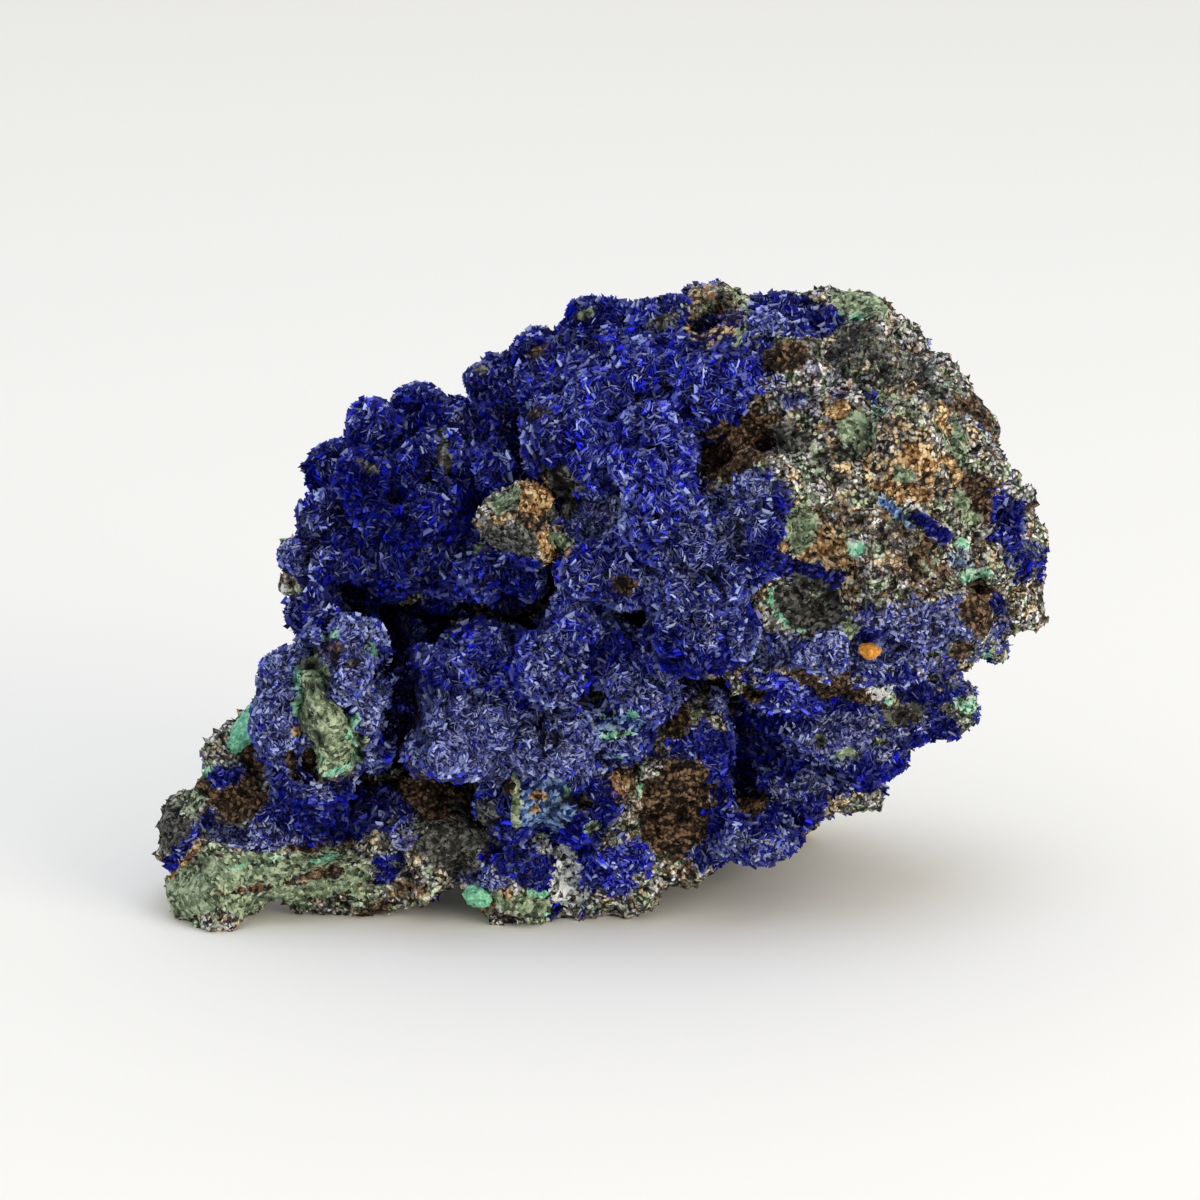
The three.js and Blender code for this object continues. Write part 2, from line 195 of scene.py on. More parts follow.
# Broad coats first, then what lies on them.
PATCHES: dict[str, tuple[Patch, ...]] = {
    "blue coats": (
        Patch(ROYAL, (640, 460), (13, 15), 0, 0.9),
        Patch(ROYAL, (600, 365), (17, 8), 20, 0.55),
        Patch(ROYAL, (725, 372), (11, 6), 25, 1.0),
        Patch(ROYAL, (560, 620), (7, 5), 0, 0.8),
        Patch(ROYAL, (500, 660), (9, 5), 0, 0.7),
        Patch(DRUSE, (700, 570), (9, 12), 0, 0.42),
        Patch(DRUSE, (555, 670), (5, 7), 0, 0.45),
        Patch(DRUSE, (470, 740), (13, 8), -10, 0.8),
        Patch(DRUSE, (560, 745), (13, 7), 0, 0.75),
        Patch(DRUSE, (640, 700), (9, 5), 0, 0.6),
        Patch(DRUSE, (600, 590), (10, 5), 0, 0.35),
        Patch(DRUSE, (300, 545), (4, 5), 0, 0.55),
    ),
    "thick end": (
        Patch(DARK, (850, 370), (20, 9), -28, 0.5),
        Patch(IRONSTONE, (870, 560), (14, 9), -25, 0.46),
        Patch(LIMONITE, (845, 560), (8, 8), -25, 0.32),
        Patch(TEAL, (885, 560), (11, 6), -25, 0.26),
        Patch(OLIVE, (880, 430), (9, 8), -30, 0.44),
        Patch(LIMONITE, (885, 455), (10, 8), -30, 0.36),
        Patch(DRUSE, (905, 635), (17, 6), 5, 0.62),
        Patch(DRUSE, (850, 662), (24, 4), -10, 0.6),
        Patch(AZURITE, (765, 520), (6, 8), 0, 0.62),
        Patch(DRUSE, (740, 510), (5, 7), 0, 0.6),
        Patch(AZURITE, (790, 316), (8.6, 3.6), -10),
        Patch(DRUSE, (764, 318), (4.4, 3.2), -10, 0.8),
        Patch(DRUSE, (820, 390), (9, 5), 0, 0.40),
        Patch(IRONSTONE, (785, 357), (4, 2.2), 20, 0.9),
        Patch(IRONSTONE, (758, 436), (5, 4), 0, 0.9),
        Patch(DARK, (785, 440), (4, 3), 0, 0.8),
        Patch(IRONSTONE, (722, 452), (4.5, 5), 0, 0.8),
        Patch(LIMONITE, (805, 290), (7, 1.6), -8, 0.9),
        Patch(OLIVE, (860, 302), (5, 2.8), -20, 0.9),
        Patch(MALACHITE, (856, 316), (3.4, 0.5), -16, 0.8),
        Patch(OLIVE, (716, 312), (6.0, 6.4), 0, 0.74),
        Patch(OLIVE, (742, 284), (5.0, 2.2), 0, 0.8),
        Patch(LIMONITE, (712, 312), (5, 6), 0, 0.46),
        Patch(IRONSTONE, (720, 308), (4, 3), 0, 0.46),
        Patch(LIMONITE, (840, 410), (2.2, 1.7), 30, 0.95, 0.3),
        Patch(OLIVE, (857, 430), (3.4, 3), 0, 0.6),
        Patch(MALACHITE, (878, 408), (1.8, 2), 0, 0.5),
        Patch(LIMONITE, (913, 392), (2, 2.2), -30, 0.6),
        Patch(LIMONITE, (955, 470), (1.6, 3), 15, 0.7),
        Patch(OLIVE, (950, 425), (1.8, 7), 18, 0.8),
        Patch(LIMONITE, (943, 415), (0.9, 5), 18, 0.7),
        Patch(LIMONITE, (916, 458), (3, 1.8), -18, 0.95, 0.5),
        Patch(LIMONITE, (912, 492), (4, 1.9), -14, 0.7),
        Patch(OLIVE, (905, 478), (1.6, 1.4), 0, 0.9),
        Patch(IRONSTONE, (978, 500), (3, 5), 0, 0.9),
        Patch(OLIVE, (961, 499), (1.6, 2.1), 15, 1.0, 0.7),
        Patch(OLIVE, (970, 518), (2, 1.2), 8, 0.9),
        Patch(LIMONITE, (826, 560), (6, 5), -30, 0.5),
        Patch(OLIVE, (798, 527), (3.0, 4.2), -8, 1.0, 0.5),
        Patch(LIMONITE, (784, 547), (1.6, 1.1), 0, 0.9),
        Patch(MALACHITE, (857, 549), (1.2, 1.3), 0, 0.9),
        Patch(TEAL, (890, 508), (4.2, 1.1), -38, 0.9),
        Patch(AZURITE, (932, 528), (3.4, 1.5), -40, 0.75),
        Patch(MALACHITE, (962, 543), (1.8, 1.1), -40, 0.9),
        Patch(AZURITE, (805, 573), (7, 2.0), -14, 0.95),
        Patch(DARK, (806, 606), (5.6, 4.8), -10, 1.0, -0.5),
        Patch(MALACHITE, (772, 600), (0.45, 2.9), 0, 1.0, 0.4),
        Patch(MALACHITE, (783, 621), (0.5, 2.0), 42, 1.0, 0.4),
        Patch(MALACHITE, (797, 630), (1.5, 0.45), 0, 1.0, 0.4),
        Patch(OLIVE, (817, 595), (1.4, 1), 0, 0.8),
        Patch(OLIVE, (850, 630), (1.8, 1.6), 0, 0.8),
        Patch(AZURITE, (868, 634), (2, 1.4), 0, 0.95),
        Patch(MALACHITE, (932, 652), (2.2, 1.2), 0, 0.42),
        Patch(LIMONITE, (949, 663), (1.4, 1), 0, 0.9),
        Patch(IRONSTONE, (962, 647), (2.2, 1.8), 0, 0.8),
        Patch(DARK, (914, 680), (1.9, 2.6), 0, 0.95, -0.8),
        Patch(LIMONITE, (930, 677), (0.9, 2.6), 18, 0.9),
    ),
    "rim": (
        Patch(AZURITE, (1006, 520), (3.6, 4.4), 0, 0.95),
        Patch(AZURITE, (1024, 560), (3.5, 4), 20, 0.5),
        Patch(DRUSE, (1016, 632), (3.5, 4.5), 25, 0.5),
        Patch(IRONSTONE, (979, 607), (3, 4.6), 0, 0.95),
        Patch(ROYAL, (998, 604), (1.4, 1.6), 0, 0.95),
        Patch(AZURITE, (998, 413), (1.8, 1.6), 0, 0.9),
        Patch(IRONSTONE, (975, 420), (3, 5), 25, 0.6),
        Patch(TEAL, (962, 560), (2.4, 3), 40, 0.5),
        Patch(MALACHITE, (977, 575), (2.4, 1.2), 25, 1.0, 0.3),
        Patch(MALACHITE, (984, 655), (0.8, 2.6), -12, 1.0, 0.3),
    ),
    "ledges": (
        Patch(AZURITE, (812, 745), (27, 10), 14, 0.85),
        Patch(AZURITE, (750, 832), (14, 6), 8, 0.85),
        Patch(AZURITE, (706, 755), (6, 5.5), 0, 0.95),
        Patch(ROYAL, (793, 698), (9, 3.5), -10),
        Patch(IRONSTONE, (835, 688), (8, 1.7), -18, 0.9),
        Patch(IRONSTONE, (708, 674), (5.4, 2.3), 5, 0.9),
        Patch(IRONSTONE, (752, 692), (2.6, 2), 20, 0.9),
        Patch(DRUSE, (855, 736), (11, 4), 10, 0.62),
        Patch(DRUSE, (790, 790), (9, 2), 12, 0.45),
        Patch(CHALK, (887, 692), (2.8, 1.9), -5, 0.55),
        Patch(MALACHITE, (897, 702), (1.6, 1.0), -5, 0.6),
        Patch(MALACHITE, (963, 706), (2.4, 1.7), 10, 0.62),
        Patch(DARK, (958, 735), (4.6, 2.6), 20, 0.8),
        Patch(DARK, (905, 712), (4.2, 1.8), 10, 0.6),
        Patch(OLIVE, (845, 753), (2.8, 0.7), 14, 0.8),
        Patch(DRUSE, (718, 706), (2, 1.8), 0, 0.9),
        Patch(IRONSTONE, (678, 727), (1.6, 2.2), 0, 0.9),
        Patch(IRONSTONE, (676, 808), (6, 8.5), -12, 0.95),
        Patch(AZURITE, (748, 760), (4, 9), 0, 0.95),
        Patch(IRONSTONE, (747, 805), (3.8, 1.1), 0, 0.95),
        Patch(DRUSE, (735, 846), (8, 2), 5, 0.5),
    ),
    "lower centre": (
        # Under the overhanging lower lobes the rock is painted dark: its own dark brown, with painted shade
        # too.
        Patch(DARK, (462, 830), (9, 8), 0, 0.62),
        Patch(IRONSTONE, (400, 795), (10, 6), 0, 0.8),
        Patch(DRUSE, (400, 822), (3.4, 4.5), 0, 0.5),
        Patch(AZURITE, (384, 868), (2.5, 3), 0, 0.6),
        Patch(AZURITE, (550, 856), (12, 6), 0, 0.6),
        Patch(OLIVE, (620, 722), (4.6, 3.0), 10, 0.55),
        Patch(TEAL, (622, 726), (4.0, 2.2), 10, 0.6),
        Patch(MALACHITE, (603, 715), (0.5, 0.7)),
        Patch(MALACHITE, (633, 713), (1.1, 0.9)),
        Patch(MALACHITE, (619, 735), (3.3, 0.5), 4, 0.9),
        Patch(MALACHITE, (622, 757), (2.6, 0.45), 8, 0.8),
        Patch(IRONSTONE, (618, 788), (2.7, 2.6), 0, 1.0, 1.6),
        Patch(LIMONITE, (617, 787), (2.3, 2.2), 0, 0.6, 0.3),
        Patch(MALACHITE, (641, 781), (0.5, 3.0), 0, 0.9),
        Patch(TEAL, (545, 805), (4.6, 5.2), 0, 1.0, 0.2),
        Patch(OLIVE, (516, 804), (0.9, 4.8), 0, 0.95),
        Patch(IRONSTONE, (507, 787), (1.2, 1.2)),
        Patch(LIMONITE, (538, 795), (1.4, 0.9)),
        Patch(IRONSTONE, (538, 796), (0.7, 0.5)),
        Patch(LIMONITE, (537, 810), (0.9, 0.7)),
        Patch(MALACHITE, (567, 791), (0.5, 1.0)),
        Patch(OLIVE, (592, 827), (1.5, 1.2), 0, 0.9, 0.0, TEAL),
        Patch(AZURITE, (566, 880), (6, 7), 0, 0.8),
        Patch(CHALK, (546, 848), (3.2, 1.4), -34, 0.55),
        Patch(CHALK, (568, 878), (3.0, 6.5), 8, 0.6),
        Patch(ROYAL, (618, 868), (6, 4), 20, 1.0),
        Patch(OLIVE, (524, 903), (5.5, 1.7), -12, 0.95),
        Patch(LIMONITE, (506, 893), (1.6, 0.8), -40, 0.8),
        Patch(MALACHITE, (538, 894), (2, 0.5), -5),
        Patch(MALACHITE, (553, 915), (1.3, 0.5)),
        Patch(DRUSE, (488, 880), (4.5, 1.4), -8, 0.8),
    ),
    "left foot": (
        Patch(AZURITE, (300, 815), (18, 5), 4, 0.8),
        Patch(OLIVE, (262, 880), (18, 5.6), 3, 0.95),
        Patch(OLIVE, (182, 893), (5.5, 4.5), 0, 0.9),
        Patch(MALACHITE, (262, 862), (7, 0.7), 12, 0.6),
        Patch(MALACHITE, (325, 858), (3, 0.8), 10, 0.7),
        Patch(LIMONITE, (188, 858), (0.7, 4.6), -38, 0.7),
        Patch(LIMONITE, (300, 880), (3, 1.0), 10, 0.55),
        Patch(IRONSTONE, (322, 874), (4, 1.3), 10, 0.6),
        Patch(IRONSTONE, (240, 890), (6, 0.6), 6, 0.7, -0.3),
        Patch(DRUSE, (252, 836), (7, 2.4), -8, 0.95),
        Patch(AZURITE, (185, 842), (1.3, 6.5), -36, 0.8),
        Patch(IRONSTONE, (302, 848), (3.6, 0.7), 6, 0.8),
    ),
    "left slope": (
        Patch(DARK, (174, 818), (4, 6.5), -30, 0.6),
        Patch(OLIVE, (190, 800), (2.4, 3), -30, 0.5),
        Patch(IRONSTONE, (240, 800), (4.5, 3.5), 0, 0.7),
        Patch(IRONSTONE, (250, 760), (3, 4), 0, 0.8),
        Patch(OLIVE, (247, 694), (2.0, 2.8), 0, 0.95),
        Patch(LIMONITE, (247, 690), (1.2, 1.4), 0, 0.5),
        Patch(MALACHITE, (206, 774), (1.8, 1.2), 28, 1.0, 0.4),
        Patch(IRONSTONE, (206, 785), (1.8, 1.3), 20, 0.9),
        Patch(AZURITE, (228, 776), (3, 1.6), 30, 0.8),
    ),
    "left knob": (
        Patch(DRUSE, (325, 695), (13, 15), 0, 0.95),
        Patch(AZURITE, (300, 612), (7, 3), 0, 0.95),
        Patch(IRONSTONE, (304, 762), (3.4, 3.8), 15, 0.95, -1.0),
        Patch(DARK, (318, 776), (3, 2), 15, 0.7),
        Patch(OLIVE, (314, 684), (3.2, 4.8), -6, 1.0, 0.3),
        Patch(OLIVE, (320, 715), (4.4, 3.4), -6, 1.0, 0.3),
        Patch(OLIVE, (334, 744), (5.2, 5.6), -20, 1.0, 0.3),
        Patch(MALACHITE, (298, 684), (0.7, 3.6), 5, 1.0, 0.4),
        Patch(MALACHITE, (296, 708), (0.8, 1.8), -15, 1.0, 0.4),
        Patch(MALACHITE, (353, 728), (0.7, 2.6), -28, 1.0, 0.4),
        Patch(MALACHITE, (357, 748), (0.6, 2.4), 24, 1.0, 0.4),
        Patch(MALACHITE, (336, 770), (3.4, 0.6), 24, 1.0, 0.4),
        Patch(MALACHITE, (317, 766), (0.5, 2.0), -12, 1.0, 0.4),
        Patch(MALACHITE, (333, 637), (1.9, 0.9), 0, 0.9),
        Patch(MALACHITE, (374, 651), (1.0, 2.0), 38, 1.0, 0.2),
        Patch(LIMONITE, (296, 730), (1.3, 0.8), -25, 0.95),
        Patch(DARK, (352, 663), (1.3, 1.2), 0, 0.8),
        Patch(IRONSTONE, (334, 650), (2.2, 2.2), -20, 0.6),
    ),
    "nose": (
        Patch(DRUSE, (592, 520), (6, 4), 20, 0.85),
        Patch(DARK, (555, 490), (4, 5), 20, 0.8),
        Patch(AZURITE, (508, 562), (6, 3.4), 0, 0.6),
        Patch(OLIVE, (512, 504), (3.2, 2.8), 20, 1.0, 0.4),
        Patch(LIMONITE, (535, 500), (2.4, 4.2), -25, 1.0, 0.3),
        Patch(LIMONITE, (500, 521), (2.8, 0.7), 28, 1.0),
        Patch(IRONSTONE, (528, 520), (4.2, 0.8), -20, 0.9),
        Patch(DARK, (491, 536), (3, 1.8), 15, 0.8),
        Patch(OLIVE, (479, 552), (1.2, 2.4), -20, 0.8),
        Patch(LIMONITE, (557, 544), (3.0, 3.0), 0, 0.9),
        Patch(OLIVE, (562, 541), (1.8, 1.7), 0, 0.9),
        Patch(DARK, (517, 545), (3.6, 3), 0, 0.7),
        Patch(AZURITE, (510, 575), (6, 4), 0, 0.7),
    ),
    "upper ridge": (
        Patch(DARK, (480, 365), (1.9, 1.7), 0, 0.9),
        Patch(IRONSTONE, (538, 350), (2.7, 1.4), 30, 0.6),
        Patch(IRONSTONE, (536, 415), (3.2, 1.8), 0, 0.62),
        Patch(OLIVE, (585, 313), (1.6, 1), 20, 0.9),
        Patch(LIMONITE, (645, 298), (1.3, 0.8), 0, 0.6),
        Patch(DARK, (664, 322), (3.4, 1.6), 10, 0.6),
        Patch(DARK, (444, 452), (1.3, 4.4), 12, 1.0, -0.8),
        Patch(DARK, (368, 465), (2.2, 1.0), -20, 0.8, -0.6),
    ),
}

STROKES: tuple[Stroke, ...] = (
    Stroke(((322, 440), (318, 462)), 8, (2.5, -0.8, 0)),
    Stroke(((390, 402),), 4, (0, 1.6, 0)),
    Stroke(((312, 530),), 7, (-2.0, 0, 0)),
    Stroke(((316, 585), (312, 566)), 6, (-4.4, 0, 0)),
    Stroke(((300, 508),), 7, (4.5, 0, 2), ("host_rock",)),
    Stroke(((340, 420),), 5, (-1.0, 0.8, 0)),
    Stroke(((420, 398),), 9, (0, -1.6, 0)),
    Stroke(((486, 380),), 5, (0, 3.0, 0)),
    Stroke(((520, 366), (548, 350)), 10, (0.5, -6.0, 0)),
    Stroke(((588, 334),), 9, (0.5, -4.0, 0)),
    Stroke(((790, 308), (850, 308)), 9, (0, -3.8, 0)),
    Stroke(((876, 318), (900, 334)), 14, (-3.4, -6.2, 0)),
    Stroke(((950, 378), (970, 402)), 9, (-3.0, -2.0, 0)),
    Stroke(((986, 426),), 4, (3.4, 0.8, 0)),
    Stroke(((1000, 454), (1014, 476)), 6, (-3.8, -0.6, 0)),
    Stroke(((1022, 552), (1016, 590), (1006, 622)), 7, (3.6, 0, 0)),
    Stroke(((1010, 650), (990, 664)), 7, (-2.4, 2.4, 0)),
    Stroke(((290, 600), (276, 655)), 9, (4.6, 0, 0)),
    Stroke(((198, 785),), 6, (-1.6, 0.8, 0)),
    Stroke(((186, 826), (178, 850)), 6, (-2.2, 0, 0)),
    Stroke(((935, 700),), 8, (5.4, -0.4, 0)),
    Stroke(((882, 764), (864, 785)), 7, (1.6, -1.6, 0)),
    Stroke(((618, 912), (650, 896)), 9, (-2.4, 3.4, 0)),
    Stroke(((742, 725), (752, 765), (750, 825)), 9, (0, 0, -12), ("host_rock",)),
    Stroke(((536, 540), (543, 572)), 6, (2.4, 0, 0)),
    Stroke(((580, 548), (578, 585)), 6, (-3.0, 0, 0)),
    Stroke(((790, 850), (730, 862)), 6, (0, 2.2, 0)),
    # Strokes that push the surface away from the eye: grooves, caves and bared rock. The deeper they push,
    # the more painted shade darkens the groove.
    Stroke(((392, 640), (404, 700), (394, 772)), 6.0, (0, 0, 14)),
    Stroke(((345, 600), (395, 612), (440, 625)), 6, (0, 0, 11)),
    Stroke(((505, 606), (540, 620)), 5, (0, 0, 10)),
    Stroke(((512, 410), (524, 450), (520, 490)), 3.4, (0, 0, 5)),
    Stroke(((345, 795), (400, 800), (480, 800)), 7, (0, 0, 6), ("host_rock",)),
    Stroke(((682, 682), (740, 690), (830, 688)), 4, (0, 0, 5)),
    Stroke(((830, 776), (905, 768)), 3.6, (0, 0, 4)),
    Stroke(((228, 708),), 6, (4.0, 0, 0), ("malachite_slab",)),
    Stroke(((226, 730),), 12, (2.2, -0.8, 0), ("malachite_slab",)),
    Stroke(((706, 325), (722, 332)), 6, (0, 0, 5), ("azurite_crust",)),
    Stroke(((306, 668), (320, 700)), 5.6, (0, 0, 5), ("azurite_crust",)),
    Stroke(((308, 735), (346, 745)), 8.5, (0, 0, 6), ("azurite_crust",)),
    Stroke(((565, 510), (596, 522)), 5, (0, 0, 3.5), ("azurite_crust",)),
    Stroke(((500, 505), (540, 530), (562, 541)), 4.2, (0, 0, 3), ("azurite_crust",)),
)

PITS: tuple[Pit, ...] = (
    Pit((425, 478), 1.2, 1.8, IRONSTONE),
    Pit((400, 446), 1.1, 1.8),
    Pit((300, 543), 0.7, 1.8),
    Pit((307, 538), 0.6, 1.4),
    Pit((572, 445), 1.3, 2.6),
    Pit((586, 488), 0.9, 2.0),
    Pit((600, 489), 0.9, 2.0),
    Pit((681, 473), 1.2, 2.4),
    Pit((675, 455), 1.0, 1.8),
    Pit((655, 516), 1.2, 2.0, IRONSTONE),
    Pit((632, 528), 0.9, 1.8),
    Pit((624, 587), 2.4, 2.6, IRONSTONE),
    Pit((552, 603), 1.4, 2.4),
    Pit((668, 390), 1.5, 2.6),
    Pit((692, 388), 1.3, 2.4),
    Pit((638, 398), 1.0, 2.0),
    Pit((610, 420), 1.0, 2.0),
    Pit((311, 649), 1.4, 3.4),
    Pit((337, 664), 1.0, 2.6),
    Pit((782, 795), 2.4, 5.0),
    Pit((820, 741), 1.3, 1.4, OLIVE),
    Pit((884, 741), 1.3, 1.4, OLIVE),
    Pit((588, 802), 2.2, 3.4),
    Pit((470, 690), 1.2, 2.2),
    Pit((1002, 515), 3.4, 3.5, AZURITE),
    Pit((980, 605), 2.6, 3.0, IRONSTONE),
    Pit((760, 446), 2.6, 3.0, IRONSTONE),
    Pit((723, 455), 1.8, 2.0, IRONSTONE),
)


# Between which rings a patch fades out, and its rim outside and inside.
COVER_FADE = (1.15, 0.85)
RIM_OUTSIDE = (1.42, 1.22)
RIM_INSIDE = (0.85, 1.0)
# The size of the lobes of a patch's edge, how far they stray as a share of it, and their seed.
PATCH_EDGES = ((3.0 * MM, 0.26, 11), (1.3 * MM, 0.18, 12))


def from_screen(colour: Iterable[float]) -> tuple[float, float, float, float]:
    """Linear RGBA of a colour given as screen values from 0 to 255."""
    parts = [value / 255 for value in colour]
    linear = [part / 12.92 if part <= 0.04045 else ((part + 0.055) / 1.055) ** 2.4 for part in parts]
    return (*linear, 1.0)


def smooth_step(low: float, high: float, values: np.ndarray) -> np.ndarray:
    """0 at low, 1 at high, with level ends. Low may be the greater."""
    share = np.clip((values - low) / (high - low), 0.0, 1.0)
    return share * share * (3 - 2 * share)


# More spacings or rings than anything that is near can be away.
FAR = 9.0
# Odd factors and shifts that mix a lattice cell's coordinates into one number.
AXIS_FACTORS = (0x9E3779B1, 0x85EBCA77, 0xC2B2AE3D)
SEED_FACTOR = 0x27D4EB2F
MIXING = ((15, 0x2C1B3C6D), (12, 0x297A2D39), (15, 1))
TEN_BITS = 1023
# What brings the noises to the range from about -1 to 1.
WAVE_GAIN = 1.7
RIDGE_GAIN = 3.2


def hashed(cells: np.ndarray, seed: int) -> np.ndarray:
    """A 32-bit number for each lattice cell.

    Args:
        cells: Whole coordinates, one cell a row.
        seed: Which set of numbers.

    Returns:
        One unsigned number a row.
    """
    mixed = np.full(len(cells), seed * SEED_FACTOR & 0xFFFFFFFF, np.uint32)
    for axis, factor in enumerate(AXIS_FACTORS):
        mixed ^= cells[:, axis].astype(np.int64).astype(np.uint32) * np.uint32(factor)
    for shift, factor in MIXING:
        mixed ^= mixed >> np.uint32(shift)
        mixed *= np.uint32(factor)
    return mixed


def thirds(numbers: np.ndarray) -> np.ndarray:
    """Three shares from 0 to 1 out of each 32-bit number."""
    parts = [(numbers >> np.uint32(10 * third)) & np.uint32(TEN_BITS) for third in range(3)]
    return np.stack(parts, axis=1) / TEN_BITS


def waves(places: np.ndarray, spacing: float, seed: int) -> np.ndarray:
    """Smooth noise from about -1 to 1, with bumps a spacing apart.

    Args:
        places: Points, one a row.
        spacing: In the unit of the points.
        seed: Which noise.

    Returns:
        One value a point.
    """
    scaled = places / spacing
    base = np.floor(scaled)
    inside = scaled - base
    fade = inside**3 * (inside * (inside * 6 - 15) + 10)
    total = np.zeros(len(places))
    for corner in itertools.product((0, 1), repeat=3):
        offset = np.array(corner)
        slope = thirds(hashed(base + offset, seed)) * 2 - 1
        weight = np.prod(np.where(offset == 1, fade, 1 - fade), axis=1)
        total += weight * np.sum(slope * (inside - offset), axis=1)
    return total * WAVE_GAIN


def ridges(places: np.ndarray, spacing: float, seed: int) -> np.ndarray:
    """Noise with sharp crests, from about -1 to 1."""
    return 1 - RIDGE_GAIN * np.abs(waves(places, spacing, seed))


@dataclass
class Cells:
    """The rounded cells that points fall in.

    Attributes:
        near: Distance to the middle of the nearest cell, in spacings.
        next: Distance to the second nearest.
        middle: The middle of the nearest cell.
        number: The nearest cell's own number.
    """

    near: np.ndarray
    next: np.ndarray
    middle: np.ndarray
    number: np.ndarray


def cells_at(places: np.ndarray, spacing: float, seed: int, jitter: float = 0.9) -> Cells:
    """Finds the cell of each point.

    Args:
        places: Points, one a row.
        spacing: Mean distance between cell middles.
        seed: Which cells.
        jitter: How far the middles stray from an even grid, 0 to 1.

    Returns:
        The cells.
    """
    scaled = places / spacing
    base = np.floor(scaled)
    near = np.full(len(places), FAR)
    second = near
    middle = np.zeros_like(scaled)
    number = np.zeros(len(places), np.uint32)
    for corner in itertools.product((-1, 0, 1), repeat=3):
        cell = base + np.array(corner)
        numbers = hashed(cell, seed)
        point = cell + 0.5 + jitter * (thirds(numbers) - 0.5)
        apart = np.linalg.norm(point - scaled, axis=1)
        closer = apart < near
        second = np.where(closer, near, np.minimum(second, apart))
        near = np.where(closer, apart, near)
        middle[closer] = point[closer]
        number[closer] = numbers[closer]
    return Cells(near, second, middle * spacing, number)


def strayed(places: np.ndarray, spacing: float, reach: float, seed: int) -> np.ndarray:
    """The points, each moved a little by noise, so that cells and ridges on them look less even.

    Args:
        places: Points, one a row.
        spacing: Distance between the bends.
        reach: How far the points move.
        seed: The first of the three noises.

    Returns:
        The moved points.
    """
    return places + reach * np.stack([waves(places, spacing, seed + axis) for axis in range(3)], axis=1)


def holes_at(
    places: np.ndarray, spacing: float, seed: int, share: float, rim: float, floor: float
) -> np.ndarray:
    """How deep in a small hole each point is, 0 to 1.

    Args:
        places: Points, one a row.
        spacing: Mean distance between the places where a hole can be.
        seed: Which places.
        share: How many of them have a hole.
        rim: Radius of a hole at the top, in spacings.
        floor: Radius at its bottom.

    Returns:
        One value a point.
    """
    cells = cells_at(places, spacing, seed)
    return np.where(thirds(cells.number)[:, 0] < share, smooth_step(rim, floor, cells.near), 0.0)


def normalised(vectors: np.ndarray) -> np.ndarray:
    """The vectors at unit length."""
    return vectors / np.maximum(np.linalg.norm(vectors, axis=1, keepdims=True), 1e-12)


@dataclass(frozen=True)
class ShowSide:
    """The eye that the specimen is shown to.

    Attributes:
        target: The point that it looks at.
        distance: From the eye to the target.
        elevation: Degrees that the eye looks down.
        frame: Width and height of the view, in pixels.
        scale: Pixels to the metre at the target.
        sensor: Width of the camera's sensor, in millimetres.
    """

    target: Place = (0.108 * MM, -4.265 * MM, 50 * MM)
    distance: float = 0.700
    elevation: float = 14.0
    frame: int = 1200
    scale: float = 6000.0
    sensor: float = 36.0

    def axes(self) -> tuple[np.ndarray, np.ndarray, np.ndarray]:
        """The view's right, up and forward directions."""
        angle = math.radians(self.elevation)
        forward = np.array([0, math.cos(angle), -math.sin(angle)])
        return np.array([1.0, 0, 0]), np.array([0, math.sin(angle), math.cos(angle)]), forward

    def eye(self) -> np.ndarray:
        """Where the eye is."""
        return np.array(self.target) - self.distance * self.axes()[2]

    def pixels(self, places: np.ndarray) -> np.ndarray:
        """The pixel that each point is seen at."""
        right, up, forward = self.axes()
        apart = places - self.eye()
        scale = self.scale * self.distance / (apart @ forward)
        across = self.frame / 2 + (apart @ right) * scale
        down = self.frame / 2 - (apart @ up) * scale
        return np.stack([across, down], axis=1)

    def ray(self, pixel: Pixel) -> Vector:
        """The direction from the eye through a pixel."""
        right, up, forward = self.axes()
        across = (pixel[0] - self.frame / 2) / self.scale
        rise = (self.frame / 2 - pixel[1]) / self.scale
        return Vector(forward * self.distance + right * across + up * rise).normalized()

    def camera(self) -> Piece:
        """Makes the camera."""
        data = bpy.data.cameras.new("show_side")
        data.sensor_width = self.sensor
        data.lens = self.sensor * self.scale * self.distance / self.frame
        camera = bpy.data.objects.new("show_side", data)
        camera.location = self.eye()
        camera.rotation_euler = (math.radians(90 - self.elevation), 0, 0)
        bpy.context.collection.objects.link(camera)
        bpy.context.scene.camera = camera
        return camera


SHOW_SIDE = ShowSide()


def only(piece: Piece) -> None:
    """Makes the piece the only selected object, and the active one."""
    bpy.ops.object.select_all(action="DESELECT")
    piece.select_set(True)
    bpy.context.view_layer.objects.active = piece


def merged_copy(node: str, name: str) -> Piece:
    """A copy of a CAD node's mesh with its loose triangles merged.

    Args:
        node: The CAD node.
        name: The new piece's name.

    Returns:
        The new piece, closed, in the node's place.
    """
    piece = bpy.data.objects.new(name, frame["nodes"][node].data.copy())
    piece.data.materials.clear()
    bpy.context.collection.objects.link(piece)
    only(piece)
    bpy.ops.object.mode_set(mode="EDIT")
    bpy.ops.mesh.select_all(action="SELECT")
    bpy.ops.mesh.remove_doubles(threshold=1e-6)
    bpy.ops.object.mode_set(mode="OBJECT")
    return piece


def apply_all(piece: Piece) -> None:
    """Applies every modifier of the piece, from the first."""
    only(piece)
    for name in [modifier.name for modifier in piece.modifiers]:
        bpy.ops.object.modifier_apply(modifier=name)


def remeshed(piece: Piece, voxel: float, smoothing: int) -> None:
    """Gives the piece an even mesh and rounds off its facets.

    Args:
        piece: A closed mesh.
        voxel: Size of the mesh's faces.
        smoothing: How many times it is smoothed.
    """
    remesh = piece.modifiers.new("even", "REMESH")
    remesh.mode = "VOXEL"
    remesh.voxel_size = voxel
    smooth = piece.modifiers.new("rounded", "SMOOTH")
    smooth.factor = 0.5
    smooth.iterations = smoothing
    apply_all(piece)


